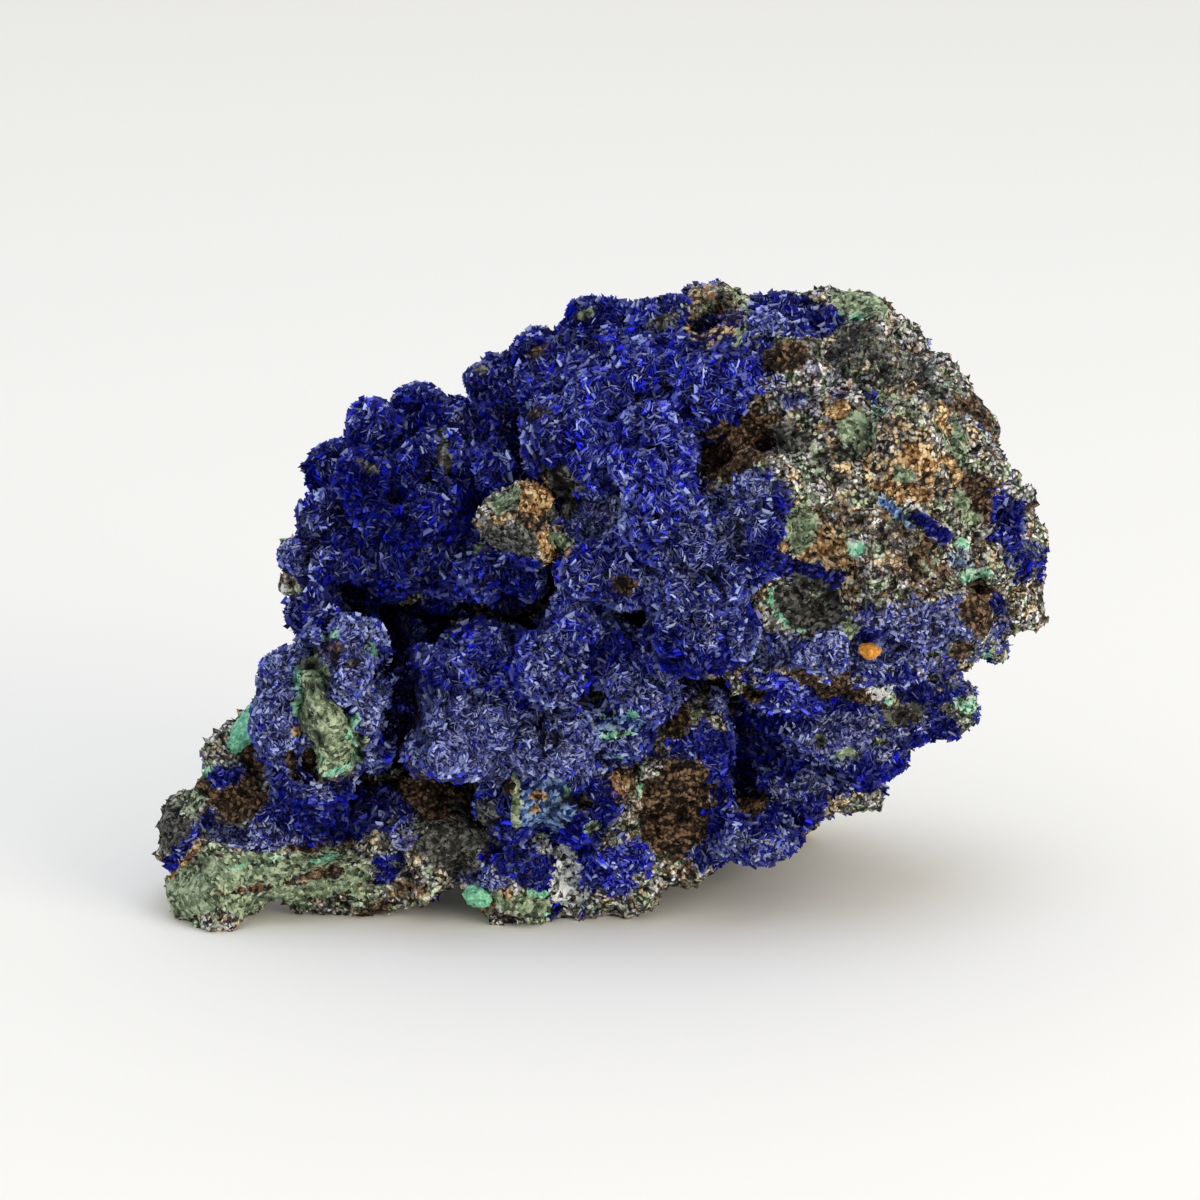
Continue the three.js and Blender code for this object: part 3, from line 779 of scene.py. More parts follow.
def points_of(mesh: bpy.types.Mesh) -> np.ndarray:
    """The mesh's corners, one a row."""
    flat = np.empty(len(mesh.vertices) * 3)
    mesh.vertices.foreach_get("co", flat)
    return flat.reshape(-1, 3)


def normals_of(mesh: bpy.types.Mesh) -> np.ndarray:
    """The mesh's corner normals, one a row."""
    flat = np.empty(len(mesh.vertices) * 3)
    mesh.vertex_normals.foreach_get("vector", flat)
    return flat.reshape(-1, 3)


def triangles_of(mesh: bpy.types.Mesh) -> np.ndarray:
    """Corner numbers of the mesh's triangles, one triangle a row."""
    mesh.calc_loop_triangles()
    flat = np.empty(len(mesh.loop_triangles) * 3, np.int32)
    mesh.loop_triangles.foreach_get("vertices", flat)
    return flat.reshape(-1, 3)


def move_points(mesh: bpy.types.Mesh, places: np.ndarray) -> None:
    """Puts the mesh's corners at the places."""
    mesh.vertices.foreach_set("co", places.ravel())
    mesh.update()


def hold(mesh: bpy.types.Mesh, name: str, values: np.ndarray) -> None:
    """Keeps one value for each corner as a named attribute, a number or a colour.

    Args:
        mesh: The mesh.
        name: The attribute's name.
        values: One number a corner, or one row of four.
    """
    if values.ndim == 1:
        attribute = mesh.attributes.new(name, "FLOAT", "POINT")
        attribute.data.foreach_set("value", values.astype(np.float32))
    else:
        attribute = mesh.attributes.new(name, "FLOAT_COLOR", "POINT")
        attribute.data.foreach_set("color", values.astype(np.float32).ravel())


def hold_minerals(mesh: bpy.types.Mesh, shares: np.ndarray, crevice_shade: np.ndarray) -> None:
    """Keeps what SkinFinish reads at each corner: the share of each mineral, and the painted shade of its
    crevice.
    """
    for number, mineral in enumerate(MINERALS):
        hold(mesh, mineral.value, shares[:, number])
    hold(mesh, "crevice_shade", crevice_shade)


def piece_from(name: str, places: np.ndarray, triangles: np.ndarray, smooth: bool) -> Piece:
    """A new piece from arrays of corners and triangles.

    Args:
        name: The piece's name.
        places: Corners, one a row.
        triangles: Corner numbers, one triangle a row.
        smooth: Whether its faces are shaded smooth.

    Returns:
        The piece.
    """
    mesh = bpy.data.meshes.new(name)
    mesh.vertices.add(len(places))
    mesh.vertices.foreach_set("co", places.ravel())
    mesh.loops.add(triangles.size)
    mesh.loops.foreach_set("vertex_index", triangles.ravel())
    mesh.polygons.add(len(triangles))
    mesh.polygons.foreach_set("loop_start", np.arange(0, triangles.size, 3))
    mesh.polygons.foreach_set("use_smooth", np.full(len(triangles), smooth))
    mesh.update(calc_edges=True)
    piece = bpy.data.objects.new(name, mesh)
    bpy.context.collection.objects.link(piece)
    return piece


def dress(piece: Piece, material: bpy.types.Material, node: str | None = None) -> None:
    """Gives a piece its material and body, and hides the CAD node that it replaces, if any."""
    piece.data.materials.append(material)
    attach(piece, BODY)
    if node:
        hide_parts(node)
    log.info("%s: %d triangles", piece.name, len(triangles_of(piece.data)))


def tree_of(piece: Piece) -> BVHTree:
    """A search tree of the piece's surface."""
    bpy.context.view_layer.update()
    return BVHTree.FromObject(piece, bpy.context.evaluated_depsgraph_get())


class Recipe:
    """A material's nodes, added one by one."""

    def __init__(self, name: str) -> None:
        """Starts a material with one principled shader."""
        self.material = bpy.data.materials.new(name)
        self.material.use_nodes = True
        self.tree = self.material.node_tree
        self.shader = self.tree.nodes["Principled BSDF"]
        self.place = self.add("ShaderNodeTexCoord").outputs["Object"]
        self.bent = self.place

    def add(
        self, kind: str, inputs: dict[str | int, Feed] | None = None, **settings: object
    ) -> bpy.types.Node:
        """Adds a node.

        Args:
            kind: The node's type.
            inputs: What goes into its sockets, by their names or numbers.
            **settings: Its own settings.

        Returns:
            The node.
        """
        node = self.tree.nodes.new(kind)
        for name, value in settings.items():
            setattr(node, name, value)
        for name, value in (inputs or {}).items():
            self.feed(node.inputs[name], value)
        return node

    def feed(self, socket: Socket, value: Feed) -> None:
        """Links a socket to another, or sets its value."""
        if isinstance(value, Socket):
            self.tree.links.new(value, socket)
        else:
            socket.default_value = value

    def attribute(self, name: str) -> Socket:
        """A number that the mesh holds."""
        return self.add("ShaderNodeAttribute", attribute_name=name).outputs["Fac"]

    def colour_attribute(self, name: str) -> Socket:
        """A colour that the mesh holds."""
        return self.add("ShaderNodeAttribute", attribute_name=name).outputs["Color"]

    def noise(self, size: float, detail: float = 3.0, roughness: float = 0.6) -> Socket:
        """Noise in space with specks of a size, in metres."""
        inputs = {"Vector": self.place, "Scale": 1 / size, "Detail": detail, "Roughness": roughness}
        return self.add("ShaderNodeTexNoise", inputs).outputs["Fac"]

    def bend(self, size: float, reach: float) -> None:
        """Bends the space that grains lie in, so that they are less regular.

        Args:
            size: Of the bends, in metres.
            reach: How far they go, in metres.
        """
        noise = self.add("ShaderNodeTexNoise", {"Vector": self.place, "Scale": 1 / size})
        inputs = {0: noise.outputs["Color"], 1: (2 * reach,) * 3, 2: self.place}
        self.bent = self.add("ShaderNodeVectorMath", inputs, operation="MULTIPLY_ADD").outputs["Vector"]

    def grains(self, size: float) -> tuple[Socket, Socket, Socket]:
        """Angular grains in space: how far from their middle, and two numbers for each."""
        node = self.add("ShaderNodeTexVoronoi", {"Vector": self.bent, "Scale": 1 / size})
        split = self.add("ShaderNodeSeparateColor", {"Color": node.outputs["Color"]})
        return node.outputs["Distance"], split.outputs["Red"], split.outputs["Green"]

    def ramp(self, value: Socket, colours: tuple[Colour, ...], stops: tuple[float, ...]) -> Socket:
        """Turns a value into a colour.

        Args:
            value: What chooses the colour.
            colours: Screen colours.
            stops: The value at each of them.

        Returns:
            The colour.
        """
        node = self.add("ShaderNodeValToRGB", {"Fac": value})
        elements = node.color_ramp.elements
        while len(elements) < len(stops):
            elements.new(0.5)
        for element, colour, stop in zip(elements, colours, stops):
            element.position = stop
            element.color = from_screen(colour)
        return node.outputs["Color"]

    def mix(self, share: Feed, first: Feed, second: Feed, blend: str = "MIX") -> Socket:
        """The first colour with a share of the second."""
        node = self.add("ShaderNodeMix", {"Factor": share}, data_type="RGBA", blend_type=blend)
        # A Mix node keeps sockets of the same names for each data type.
        colours = [socket for socket in node.inputs if socket.type == "RGBA"]
        self.feed(colours[0], first)
        self.feed(colours[1], second)
        return next(socket for socket in node.outputs if socket.type == "RGBA")

    def step(self, value: Socket, low: float, high: float) -> Socket:
        """0 where the value is under low, 1 where it is over high."""
        inputs = {"Value": value, "From Min": low, "From Max": high}
        return self.add("ShaderNodeMapRange", inputs, interpolation_type="SMOOTHSTEP").outputs["Result"]

    def maths(self, operation: str, first: Feed, second: Feed) -> Socket:
        """One operation on two numbers."""
        return self.add("ShaderNodeMath", {0: first, 1: second}, operation=operation).outputs[0]

    def total(self, *parts: tuple[Socket, float]) -> Socket:
        """The sum of some numbers, each times its weight."""
        weighted = [self.maths("MULTIPLY", value, weight) for value, weight in parts]
        return functools.reduce(functools.partial(self.maths, "ADD"), weighted)

    def bump(self, height: Socket, distance: float) -> None:
        """Roughens the shader's surface, by a height times a distance in metres."""
        node = self.add("ShaderNodeBump", {"Height": height, "Distance": distance})
        self.feed(self.shader.inputs["Normal"], node.outputs["Normal"])

    def gloss(self, roughness: float, specular: float) -> None:
        """Sets how shiny the surface is."""
        self.shader.inputs["Roughness"].default_value = roughness
        self.shader.inputs["Specular IOR Level"].default_value = specular


@dataclass(frozen=True)
class SkinFinish:
    """The finish of a mineral surface: specks of the ground, with patches of others on it, and painted
    shade in its crevices and between its grains.

    Attributes:
        name: The material's name.
        grounds: Specks of what the skin is made of itself, one set for each kind of it.
        roughness: Of the surface.
        relief: Height of its finest grains, in metres.
        grain: Size of its grains, in metres.
        cloud: Size of its paler and darker parts, in metres.
        edge: Size of the lobes of a stain's ragged edge, in metres.
        by_grain: How much a speck's tone follows its grain.
        by_cloud: How much it follows the cloud that it is in.
        by_fine: How much it follows the finest noise.
        ragged: How far a stain's edge strays, as a share of its fade.
        crumbled: How far it strays from grain to grain.
    """

    name: str
    grounds: tuple[tuple[Colour, ...], ...]
    roughness: float = 0.8
    relief: float = 0.4 * MM
    grain: float = 0.66 * MM
    cloud: float = 1.5 * MM
    edge: float = 2.2 * MM
    by_grain: float = 0.36
    by_cloud: float = 0.44
    by_fine: float = 0.26
    ragged: float = 1.3
    crumbled: float = 0.35

    def material(self) -> bpy.types.Material:
        """Builds the material."""
        recipe = Recipe(self.name)
        recipe.bend(0.7 * MM, 0.3 * MM)
        hollow, lot, kind = recipe.grains(self.grain)
        cloud = recipe.noise(self.cloud, 4.0, 0.7)
        fine = recipe.noise(0.35 * MM, 2.0, 0.6)
        specks = recipe.total((lot, self.by_grain), (cloud, self.by_cloud), (fine, self.by_fine))
        edges = recipe.noise(self.edge, 4.0, 0.72)
        shift = recipe.total((edges, self.ragged), (lot, self.crumbled))
        shift = recipe.maths("SUBTRACT", shift, (self.ragged + self.crumbled) / 2)
        colour = recipe.ramp(specks, self.grounds[0], SPECK_STOPS)
        for number, ground in enumerate(self.grounds[1:]):
            spread = recipe.noise((2.6 + 0.8 * number) * MM, 3.0, 0.7)
            spread = recipe.maths("ADD", spread, recipe.maths("MULTIPLY", kind, 0.16))
            mask = recipe.step(spread, 0.60 + 0.02 * number, 0.64 + 0.02 * number)
            colour = recipe.mix(mask, colour, recipe.ramp(specks, ground, SPECK_STOPS))
        # Painted shade in the gaps between grains.
        grain_gap_shade = recipe.maths("MULTIPLY", recipe.step(hollow, 0.45, 0.8), 0.8)
        colour = recipe.mix(grain_gap_shade, colour, from_screen(CREVICE_SHADE))
        for mineral, colours in SPECKS.items():
            share = recipe.maths("ADD", recipe.attribute(mineral.value), shift)
            mask = recipe.step(share, 0.42, 0.58)
            own = recipe.ramp(specks, colours, SPECK_STOPS)
            if mineral not in LEVEL:
                own = recipe.mix(grain_gap_shade, own, from_screen(CREVICE_SHADE))
            colour = recipe.mix(mask, colour, own)
        # Painted shade in the crevices that the mesh marks.
        shade = recipe.step(recipe.attribute("crevice_shade"), 0.1, 1.0)
        colour = recipe.mix(shade, colour, from_screen(CREVICE_SHADE))
        recipe.feed(recipe.shader.inputs["Base Color"], colour)
        relief = recipe.maths("SUBTRACT", specks, recipe.maths("MULTIPLY", hollow, 0.6))
        recipe.bump(relief, self.relief)
        recipe.gloss(self.roughness, 0.12)
        return recipe.material


@dataclass(frozen=True)
class BladeFinish:
    """The finish of the crystal blades: glassy, deep at the root and pale along the edge.

    Attributes:
        name: The material's name.
        edge: The screen colour of the thin edges, partly pale frosting and partly painted highlight.
        roughness: Of the crystal faces.
    """

    name: str = "azurite_blades"
    edge: Colour = (188, 204, 255)
    roughness: float = 0.45

    def material(self) -> bpy.types.Material:
        """Builds the material."""
        recipe = Recipe(self.name)
        tip = recipe.attribute("tip")
        frost_and_glint = recipe.attribute("frost_and_glint")
        tint = recipe.colour_attribute("tint")
        # Painted shade: each blade darkens towards its root, where the blades shade each other.
        root = recipe.step(tip, 0.4, 0.9)
        body = recipe.mix(root, recipe.mix(1.0, tint, (0.05, 0.05, 0.09, 1.0), "MULTIPLY"), tint)
        # Pale edge: partly frosting, partly painted highlight.
        pale = recipe.maths("MULTIPLY", recipe.step(tip, 0.45, 0.72), frost_and_glint)
        recipe.feed(recipe.shader.inputs["Base Color"], recipe.mix(pale, body, from_screen(self.edge)))
        recipe.gloss(self.roughness, 0.12)
        return recipe.material


@dataclass(frozen=True)
class PlainMineralFinish:
    """The finish of a small piece of one mineral, in bands and specks.

    Attributes:
        name: The material's name.
        colours: Screen colours from dark to pale.
        roughness: Of the surface.
        band: Distance between its growth bands, in metres.
    """

    name: str
    colours: tuple[Colour, ...]
    roughness: float = 0.55
    band: float = 0.6 * MM

    def material(self) -> bpy.types.Material:
        """Builds the material."""
        recipe = Recipe(self.name)
        specks = recipe.noise(self.band, 5.0, 0.68)
        recipe.feed(recipe.shader.inputs["Base Color"], recipe.ramp(specks, self.colours, SPECK_STOPS))
        recipe.bump(specks, 0.2 * MM)
        recipe.gloss(self.roughness, 0.2)
        return recipe.material


@dataclass
class Sites:
    """Points on a skin, such as where crystals grow.

    Attributes:
        places: One a row.
        normals: The surface's direction there.
        shares: How much of each mineral is there, in the order of MINERALS.
        crevice_shade: How much painted shade darkens it, deep in a crevice, 0 to 1.
    """

    places: np.ndarray
    normals: np.ndarray
    shares: np.ndarray
    crevice_shade: np.ndarray

    def share(self, *minerals: Mineral) -> np.ndarray:
        """The summed share of some minerals at each point."""
        return sum(self.shares[:, MINERALS.index(mineral)] for mineral in minerals)

    def chosen(self, keep: np.ndarray) -> Sites:
        """Only the points that keep picks."""
        return Sites(self.places[keep], self.normals[keep], self.shares[keep], self.crevice_shade[keep])


@dataclass
class Surface(Sites):
    """All the corners of a finished skin.

    Attributes:
        triangles: Corner numbers, one triangle a row.
    """

    triangles: np.ndarray


@dataclass
class Skin:
    """A finely modelled surface that stands in for a CAD node.

    Attributes:
        node: The CAD node.
        name: The piece's name.
        slot: The name of a material slot; not used.
        finish: The surface's finish.
        voxel: Size of the mesh's faces.
        smoothing: How far the CAD facets are rounded.
        growth: How far the whole surface is moved out.
    """

    node: str
    name: str
    slot: str
    finish: SkinFinish
    voxel: float
    smoothing: int = 14
    growth: float = 0.0
    piece: Piece | None = field(default=None, init=False)
    # How deep the strokes sank each point; the grooves they leave get painted shade later.
    sunk: np.ndarray | None = field(default=None, init=False)

    def relief(self, places: np.ndarray) -> tuple[np.ndarray, np.ndarray]:
        """How far each point stands out, in metres, and how much painted shade darkens it in a crevice."""
        raise NotImplementedError

    def own_shares(self, places: np.ndarray, normals: np.ndarray) -> np.ndarray:
        """How much of each mineral is at each point before the named patches."""
        raise NotImplementedError

    def shape(self) -> None:
        """Models the broad form: the CAD node's, evened and moved by the strokes."""
        self.piece = merged_copy(self.node, self.name)
        remeshed(self.piece, self.voxel, self.smoothing)
        mesh = self.piece.data
        tree = tree_of(self.piece)
        places = points_of(mesh)
        sunk = np.zeros(len(places))
        for stroke in STROKES:
            if self.node in stroke.nodes:
                weight, move = brushed(stroke, places, tree)
                places = places + weight[:, None] * move
                # Strokes that sink the surface 3 mm or more away from the eye mark grooves for painted
                # shade.
                sunk = np.maximum(sunk, smooth_step(3.0, 9.0, weight * stroke.move[2]))
        move_points(mesh, places)
        self.sunk = sunk

    def build(self, trees: list[BVHTree]) -> Surface:
        """Gives the broad form its relief, patches and pits, and painted shade in its creases, grooves and
        pits.

        Args:
            trees: The broad forms of all the skins, which hide each other.

        Returns:
            Its corners, for what grows on it.
        """
        mesh = self.piece.data
        places, normals = points_of(mesh), normals_of(mesh)
        shares = self.own_shares(places, normals)
        height, crevice_shade = self.relief(places)
        # Painted shade: darkest in the grooves that the deep strokes sank.
        crevice_shade = np.maximum(crevice_shade, 0.85 * self.sunk)
        level = np.zeros(len(places))
        rise = np.zeros(len(places))
        for patch in itertools.chain.from_iterable(PATCHES.values()):
            ring = patch_rings(patch, places, normals, trees)
            cover = smooth_step(*COVER_FADE, ring)
            if patch.rim:
                lay(shares, patch.rim, smooth_step(*RIM_OUTSIDE, ring) * smooth_step(*RIM_INSIDE, ring))
            lay(shares, patch.mineral, cover * patch.share)
            level += cover * patch.share * (LEVEL.get(patch.mineral, 0.0) - level)
            rise += cover * patch.rise * MM
        height = height * (1 - level) + rise
        for pit in PITS:
            depth = pit_depth(pit, places, trees)
            lay(shares, pit.lining, smooth_step(0.15, 0.5, depth))
            height -= depth * pit.depth * MM
            # Painted shade in the pits.
            crevice_shade = np.maximum(crevice_shade, smooth_step(0.4, 1.0, depth) * 0.9)
        places = kept_in_box(places + normals * (self.growth + height)[:, None])
        move_points(mesh, places)
        hold_minerals(mesh, shares, crevice_shade)
        only(self.piece)
        bpy.ops.object.shade_smooth()
        dress(self.piece, self.finish.material(), self.node)
        return Surface(places, normals_of(mesh), shares, crevice_shade, triangles_of(mesh))


def lay(shares: np.ndarray, mineral: Mineral, cover: np.ndarray) -> None:
    """Lays a mineral over what is there already.

    Args:
        shares: The share of each mineral at each point, changed in place.
        mineral: What is laid.
        cover: How much of each point it covers, 0 to 1.
    """
    shares *= (1 - cover)[:, None]
    shares[:, MINERALS.index(mineral)] += cover


def brushed(stroke: Stroke, places: np.ndarray, tree: BVHTree) -> tuple[np.ndarray, np.ndarray]:
    """How a stroke of a soft brush moves points.

    Args:
        stroke: The stroke.
        places: Points, one a row.
        tree: The surface that it passes over.

    Returns:
        The stroke's weight at each point, 0 to 1, and its full move in metres.
    """
    eye = Vector(SHOW_SIDE.eye())
    legs = list(zip(stroke.path, stroke.path[1:])) or [(stroke.path[0], stroke.path[0])]
    weight = np.zeros(len(places))
    for start, end in legs:
        for share in np.linspace(0, 1, 8 if start != end else 1):
            pixel = tuple(np.array(start) * (1 - share) + np.array(end) * share)
            hit = tree.ray_cast(eye, SHOW_SIDE.ray(pixel))[0]
            if hit is not None:
                apart = np.linalg.norm(places - np.array(hit), axis=1)
                weight = np.maximum(weight, smooth_step(1.0, 0.3, apart / (stroke.radius * MM)))
    move = sum(part * MM * axis for part, axis in zip(stroke.move, SHOW_SIDE.axes()))
    return weight, move


def seen_at(pixel: Pixel, trees: list[BVHTree]) -> np.ndarray | None:
    """The point that the show side shows at a pixel, or None where it shows nothing."""
    eye = Vector(SHOW_SIDE.eye())
    hits = [tree.ray_cast(eye, SHOW_SIDE.ray(pixel)) for tree in trees]
    hits = [hit for hit in hits if hit[0] is not None]
    return np.array(min(hits, key=lambda hit: hit[3])[0]) if hits else None


def patch_rings(
    patch: Patch, places: np.ndarray, normals: np.ndarray, trees: list[BVHTree]
) -> np.ndarray:
    """How far out of a patch's middle each point is, with a ragged edge.

    Args:
        patch: The patch.
        places: Points, one a row.
        normals: The surface's direction at each.
        trees: The surfaces of the specimen.

    Returns:
        One number a point: 0 in the middle, 1 at the edge, more where it doesn't reach.
    """
    rings = np.full(len(places), FAR)
    hit = seen_at(patch.pixel, trees)
    if hit is None:
        return rings
    limit = (1.6 * max(patch.half) + 3) * MM
    near = np.flatnonzero(np.linalg.norm(places - hit, axis=1) < limit)
    close = places[near]
    apart = (SHOW_SIDE.pixels(close) - np.array(patch.pixel)) / (SHOW_SIDE.scale * MM)
    angle = math.radians(patch.turn)
    across = apart[:, 0] * math.cos(angle) - apart[:, 1] * math.sin(angle)
    along = apart[:, 0] * math.sin(angle) + apart[:, 1] * math.cos(angle)
    stray = sum(reach * waves(close, size, seed) for size, reach, seed in PATCH_EDGES)
    turned = smooth_step(-0.1, 0.45, normals[near] @ SHOW_SIDE.axes()[2])
    rings[near] = np.hypot(across / patch.half[0], along / patch.half[1]) + stray + 1.2 * turned
    return rings


def pit_depth(pit: Pit, places: np.ndarray, trees: list[BVHTree]) -> np.ndarray:
    """How deep each point is in a pit, as a share of its depth."""
    hit = seen_at(pit.pixel, trees)
    if hit is None:
        return np.zeros(len(places))
    apart = np.linalg.norm(places - hit, axis=1) / (pit.radius * MM)
    stray = np.zeros(len(places))
    near = apart < 2.0
    stray[near] = 0.25 * waves(places[near], 2.2 * MM, 13)
    return smooth_step(1.25, 0.45, apart + stray)


def kept_in_box(places: np.ndarray) -> np.ndarray:
    """The points, kept on or above the ground and close to the CAD model's box."""
    low = np.array(CAD_BOX[0]) - np.array(BOX_SPARE)
    high = np.array(CAD_BOX[1]) + np.array(BOX_SPARE)
    low[2] = 0.0
    return np.clip(places, low, high)


@dataclass
class AzuriteLobes(Skin):
    """The blue lobes: knobs, and on them rosettes, with creases between.

    Attributes:
        knob: Mean distance between knobs.
        rosette: Mean distance between rosettes.
        crown: How far a knob stands out.
        petal: How far a rosette stands out.
        swell: Height of the broad swells.
        crease: Depth between knobs.
        seam: Depth between rosettes.
        hole: Depth of the small holes.
    """

    knob: float = 8.0 * MM
    rosette: float = 3.4 * MM
    crown: float = 0.55 * MM
    petal: float = 0.25 * MM
    swell: float = 0.3 * MM
    crease: float = 0.8 * MM
    seam: float = 0.25 * MM
    hole: float = 1.8 * MM

    def relief(self, places: np.ndarray) -> tuple[np.ndarray, np.ndarray]:
        """Rounded knobs and rosettes with creases between them, and a few holes, with painted shade in the
        creases and holes.
        """
        bent = strayed(places, 5 * MM, 1.5 * MM, 1)
        knobs = cells_at(bent, self.knob, 21)
        roses = cells_at(bent, self.rosette, 22)
        crown = 1 - (knobs.near / 0.62) ** 2
        petal = 1 - (roses.near / 0.60) ** 2
        crease = smooth_step(0.16, 0.0, knobs.next - knobs.near)
        seam = smooth_step(0.22, 0.0, roses.next - roses.near)
        hole = holes_at(bent, 8 * MM, 23, 0.16, 0.24, 0.08)
        height = self.crown * np.clip(crown, -0.8, 1) + self.petal * np.clip(petal, -0.6, 1)
        height += self.swell * waves(places, 11 * MM, 24)
        height -= self.crease * crease + self.seam * seam + self.hole * hole
        # Painted shade in the creases, seams and holes.
        return height, np.clip(0.7 * crease + 0.45 * seam + 0.9 * hole, 0, 1)

    def own_shares(self, places: np.ndarray, normals: np.ndarray) -> np.ndarray:
        """Azurite all over, duskier in places on the sides that the photograph hides."""
        shares = np.zeros((len(places), len(MINERALS)))
        shares[:, MINERALS.index(AZURITE)] = 1.0
        dusk = smooth_step(0.15, 0.7, waves(places, 16 * MM, 31) + 0.3 * waves(places, 4 * MM, 32))
        lay(shares, DRUSE, 0.6 * dusk * hidden_from_show(normals))
        lay(shares, ROYAL, 0.5 * smooth_step(0.2, 0.7, waves(places, 12 * MM, 33)))
        return shares


def hidden_from_show(normals: np.ndarray) -> np.ndarray:
    """1 where the surface turns its back on the show side, 0 where it faces it."""
    return smooth_step(-0.15, 0.2, normals @ SHOW_SIDE.axes()[2])


@dataclass
class HostRock(Skin):
    """The iron-stained rock: broken ridges, grains and stains.

    Attributes:
        broad: Height of the widest ridges.
        middle: Height of the ridges on them.
        fine: Height of the finest ridges.
        grain: Height of the grains.
        hole: Depth of the small holes.
    """

    broad: float = 0.9 * MM
    middle: float = 0.8 * MM
    fine: float = 0.5 * MM
    grain: float = 0.3 * MM
    hole: float = 1.5 * MM

    def relief(self, places: np.ndarray) -> tuple[np.ndarray, np.ndarray]:
        """Broken ridges at three sizes, with grains and small holes on them, and painted shade in the
        troughs and holes.
        """
        bent = strayed(places, 7 * MM, 1.8 * MM, 4)
        middle = ridges(bent, 5.5 * MM, 42)
        fine = ridges(places, 2.6 * MM, 43)
        grain = np.clip(1 - (cells_at(bent, 2.1 * MM, 44).near / 0.6) ** 2, -1, 1)
        hole = holes_at(bent, 6 * MM, 45, 0.3, 0.34, 0.12)
        height = self.broad * ridges(bent, 13 * MM, 41) + self.middle * middle + self.fine * fine
        height += self.grain * grain - self.hole * hole
        # Painted shade in the troughs between ridges and in the holes.
        crevice_shade = 0.65 * smooth_step(-0.1, -1.1, middle) + 0.45 * smooth_step(-0.1, -1.2, fine)
        return height, np.clip(crevice_shade + 0.8 * hole, 0, 1)

    def own_shares(self, places: np.ndarray, normals: np.ndarray) -> np.ndarray:
        """Stains all over: small ones on the show side, and broad ones too on the others."""
        shares = np.zeros((len(places), len(MINERALS)))
        hidden = hidden_from_show(normals)
        spreads = (
            (IRONSTONE, 15, 0.05, 0.5, 0.7, 0.4),
            (DARK, 12, 0.10, 0.6, 0.6, 0.3),
            (AZURITE, 18, 0.10, 0.45, 0.8, 0.0),
            (DRUSE, 11, 0.30, 0.6, 0.6, 0.0),
            (OLIVE, 14, 0.42, 0.62, 0.9, 0.2),
            (LIMONITE, 9, 0.50, 0.75, 0.8, 0.2),
            (IRONSTONE, 4.5, 0.0, 0.6, 0.6, 1.0),
            (OLIVE, 3.6, 0.22, 0.7, 0.5, 1.0),
            (LIMONITE, 3.2, 0.25, 0.7, 0.5, 1.0),
            (DRUSE, 3.8, 0.36, 0.7, 0.4, 1.0),
        )
        for number, (mineral, spacing, low, high, most, shown) in enumerate(spreads):
            spread = waves(places, spacing * MM, 51 + number)
            spread += 0.3 * waves(places, spacing * MM / 3, 71 + number)
            lay(shares, mineral, most * smooth_step(low, high, spread) * (shown + (1 - shown) * hidden))
        return shares


@dataclass(frozen=True)
class Prototype:
    """One small crystal that is copied many times.

    Attributes:
        corners: One a row, in a box one unit wide.
        triangles: Corner numbers, one triangle a row.
    """

    corners: np.ndarray
    triangles: np.ndarray


def blade_prototype() -> Prototype:
    """A wedge: a block drawn in to a ridge along X at its top, and to one along Y at its root.

    Returns:
        The blade, with its root at -0.5 and its ridge at 0.5 in Z.
    """
    bpy.ops.object.select_all(action="DESELECT")
    bpy.ops.mesh.primitive_cube_add(size=1)
    block = bpy.context.active_object
    bpy.ops.object.mode_set(mode="EDIT")
    bpy.ops.mesh.select_mode(type="VERT")
    for top, size in ((True, (1, 0, 1)), (False, (0, 1, 1))):
        bpy.ops.mesh.select_all(action="DESELECT")
        bpy.ops.object.mode_set(mode="OBJECT")
        for vertex in block.data.vertices:
            vertex.select = (vertex.co.z > 0) == top
        bpy.ops.object.mode_set(mode="EDIT")
        bpy.ops.transform.resize(value=size)
    bpy.ops.mesh.select_all(action="SELECT")
    bpy.ops.mesh.remove_doubles(threshold=1e-4)
    bpy.ops.object.mode_set(mode="OBJECT")
    return taken(block)


def grain_prototype() -> Prototype:
    """A grain: a block with three sides and a point."""
    bpy.ops.object.select_all(action="DESELECT")
    bpy.ops.mesh.primitive_cone_add(vertices=3, radius1=0.6, depth=0.9)
    return taken(bpy.context.active_object)


def taken(block: Piece) -> Prototype:
    """The block's corners and triangles. The block itself is removed."""
    prototype = Prototype(points_of(block.data), triangles_of(block.data))
    bpy.data.objects.remove(block)
    return prototype


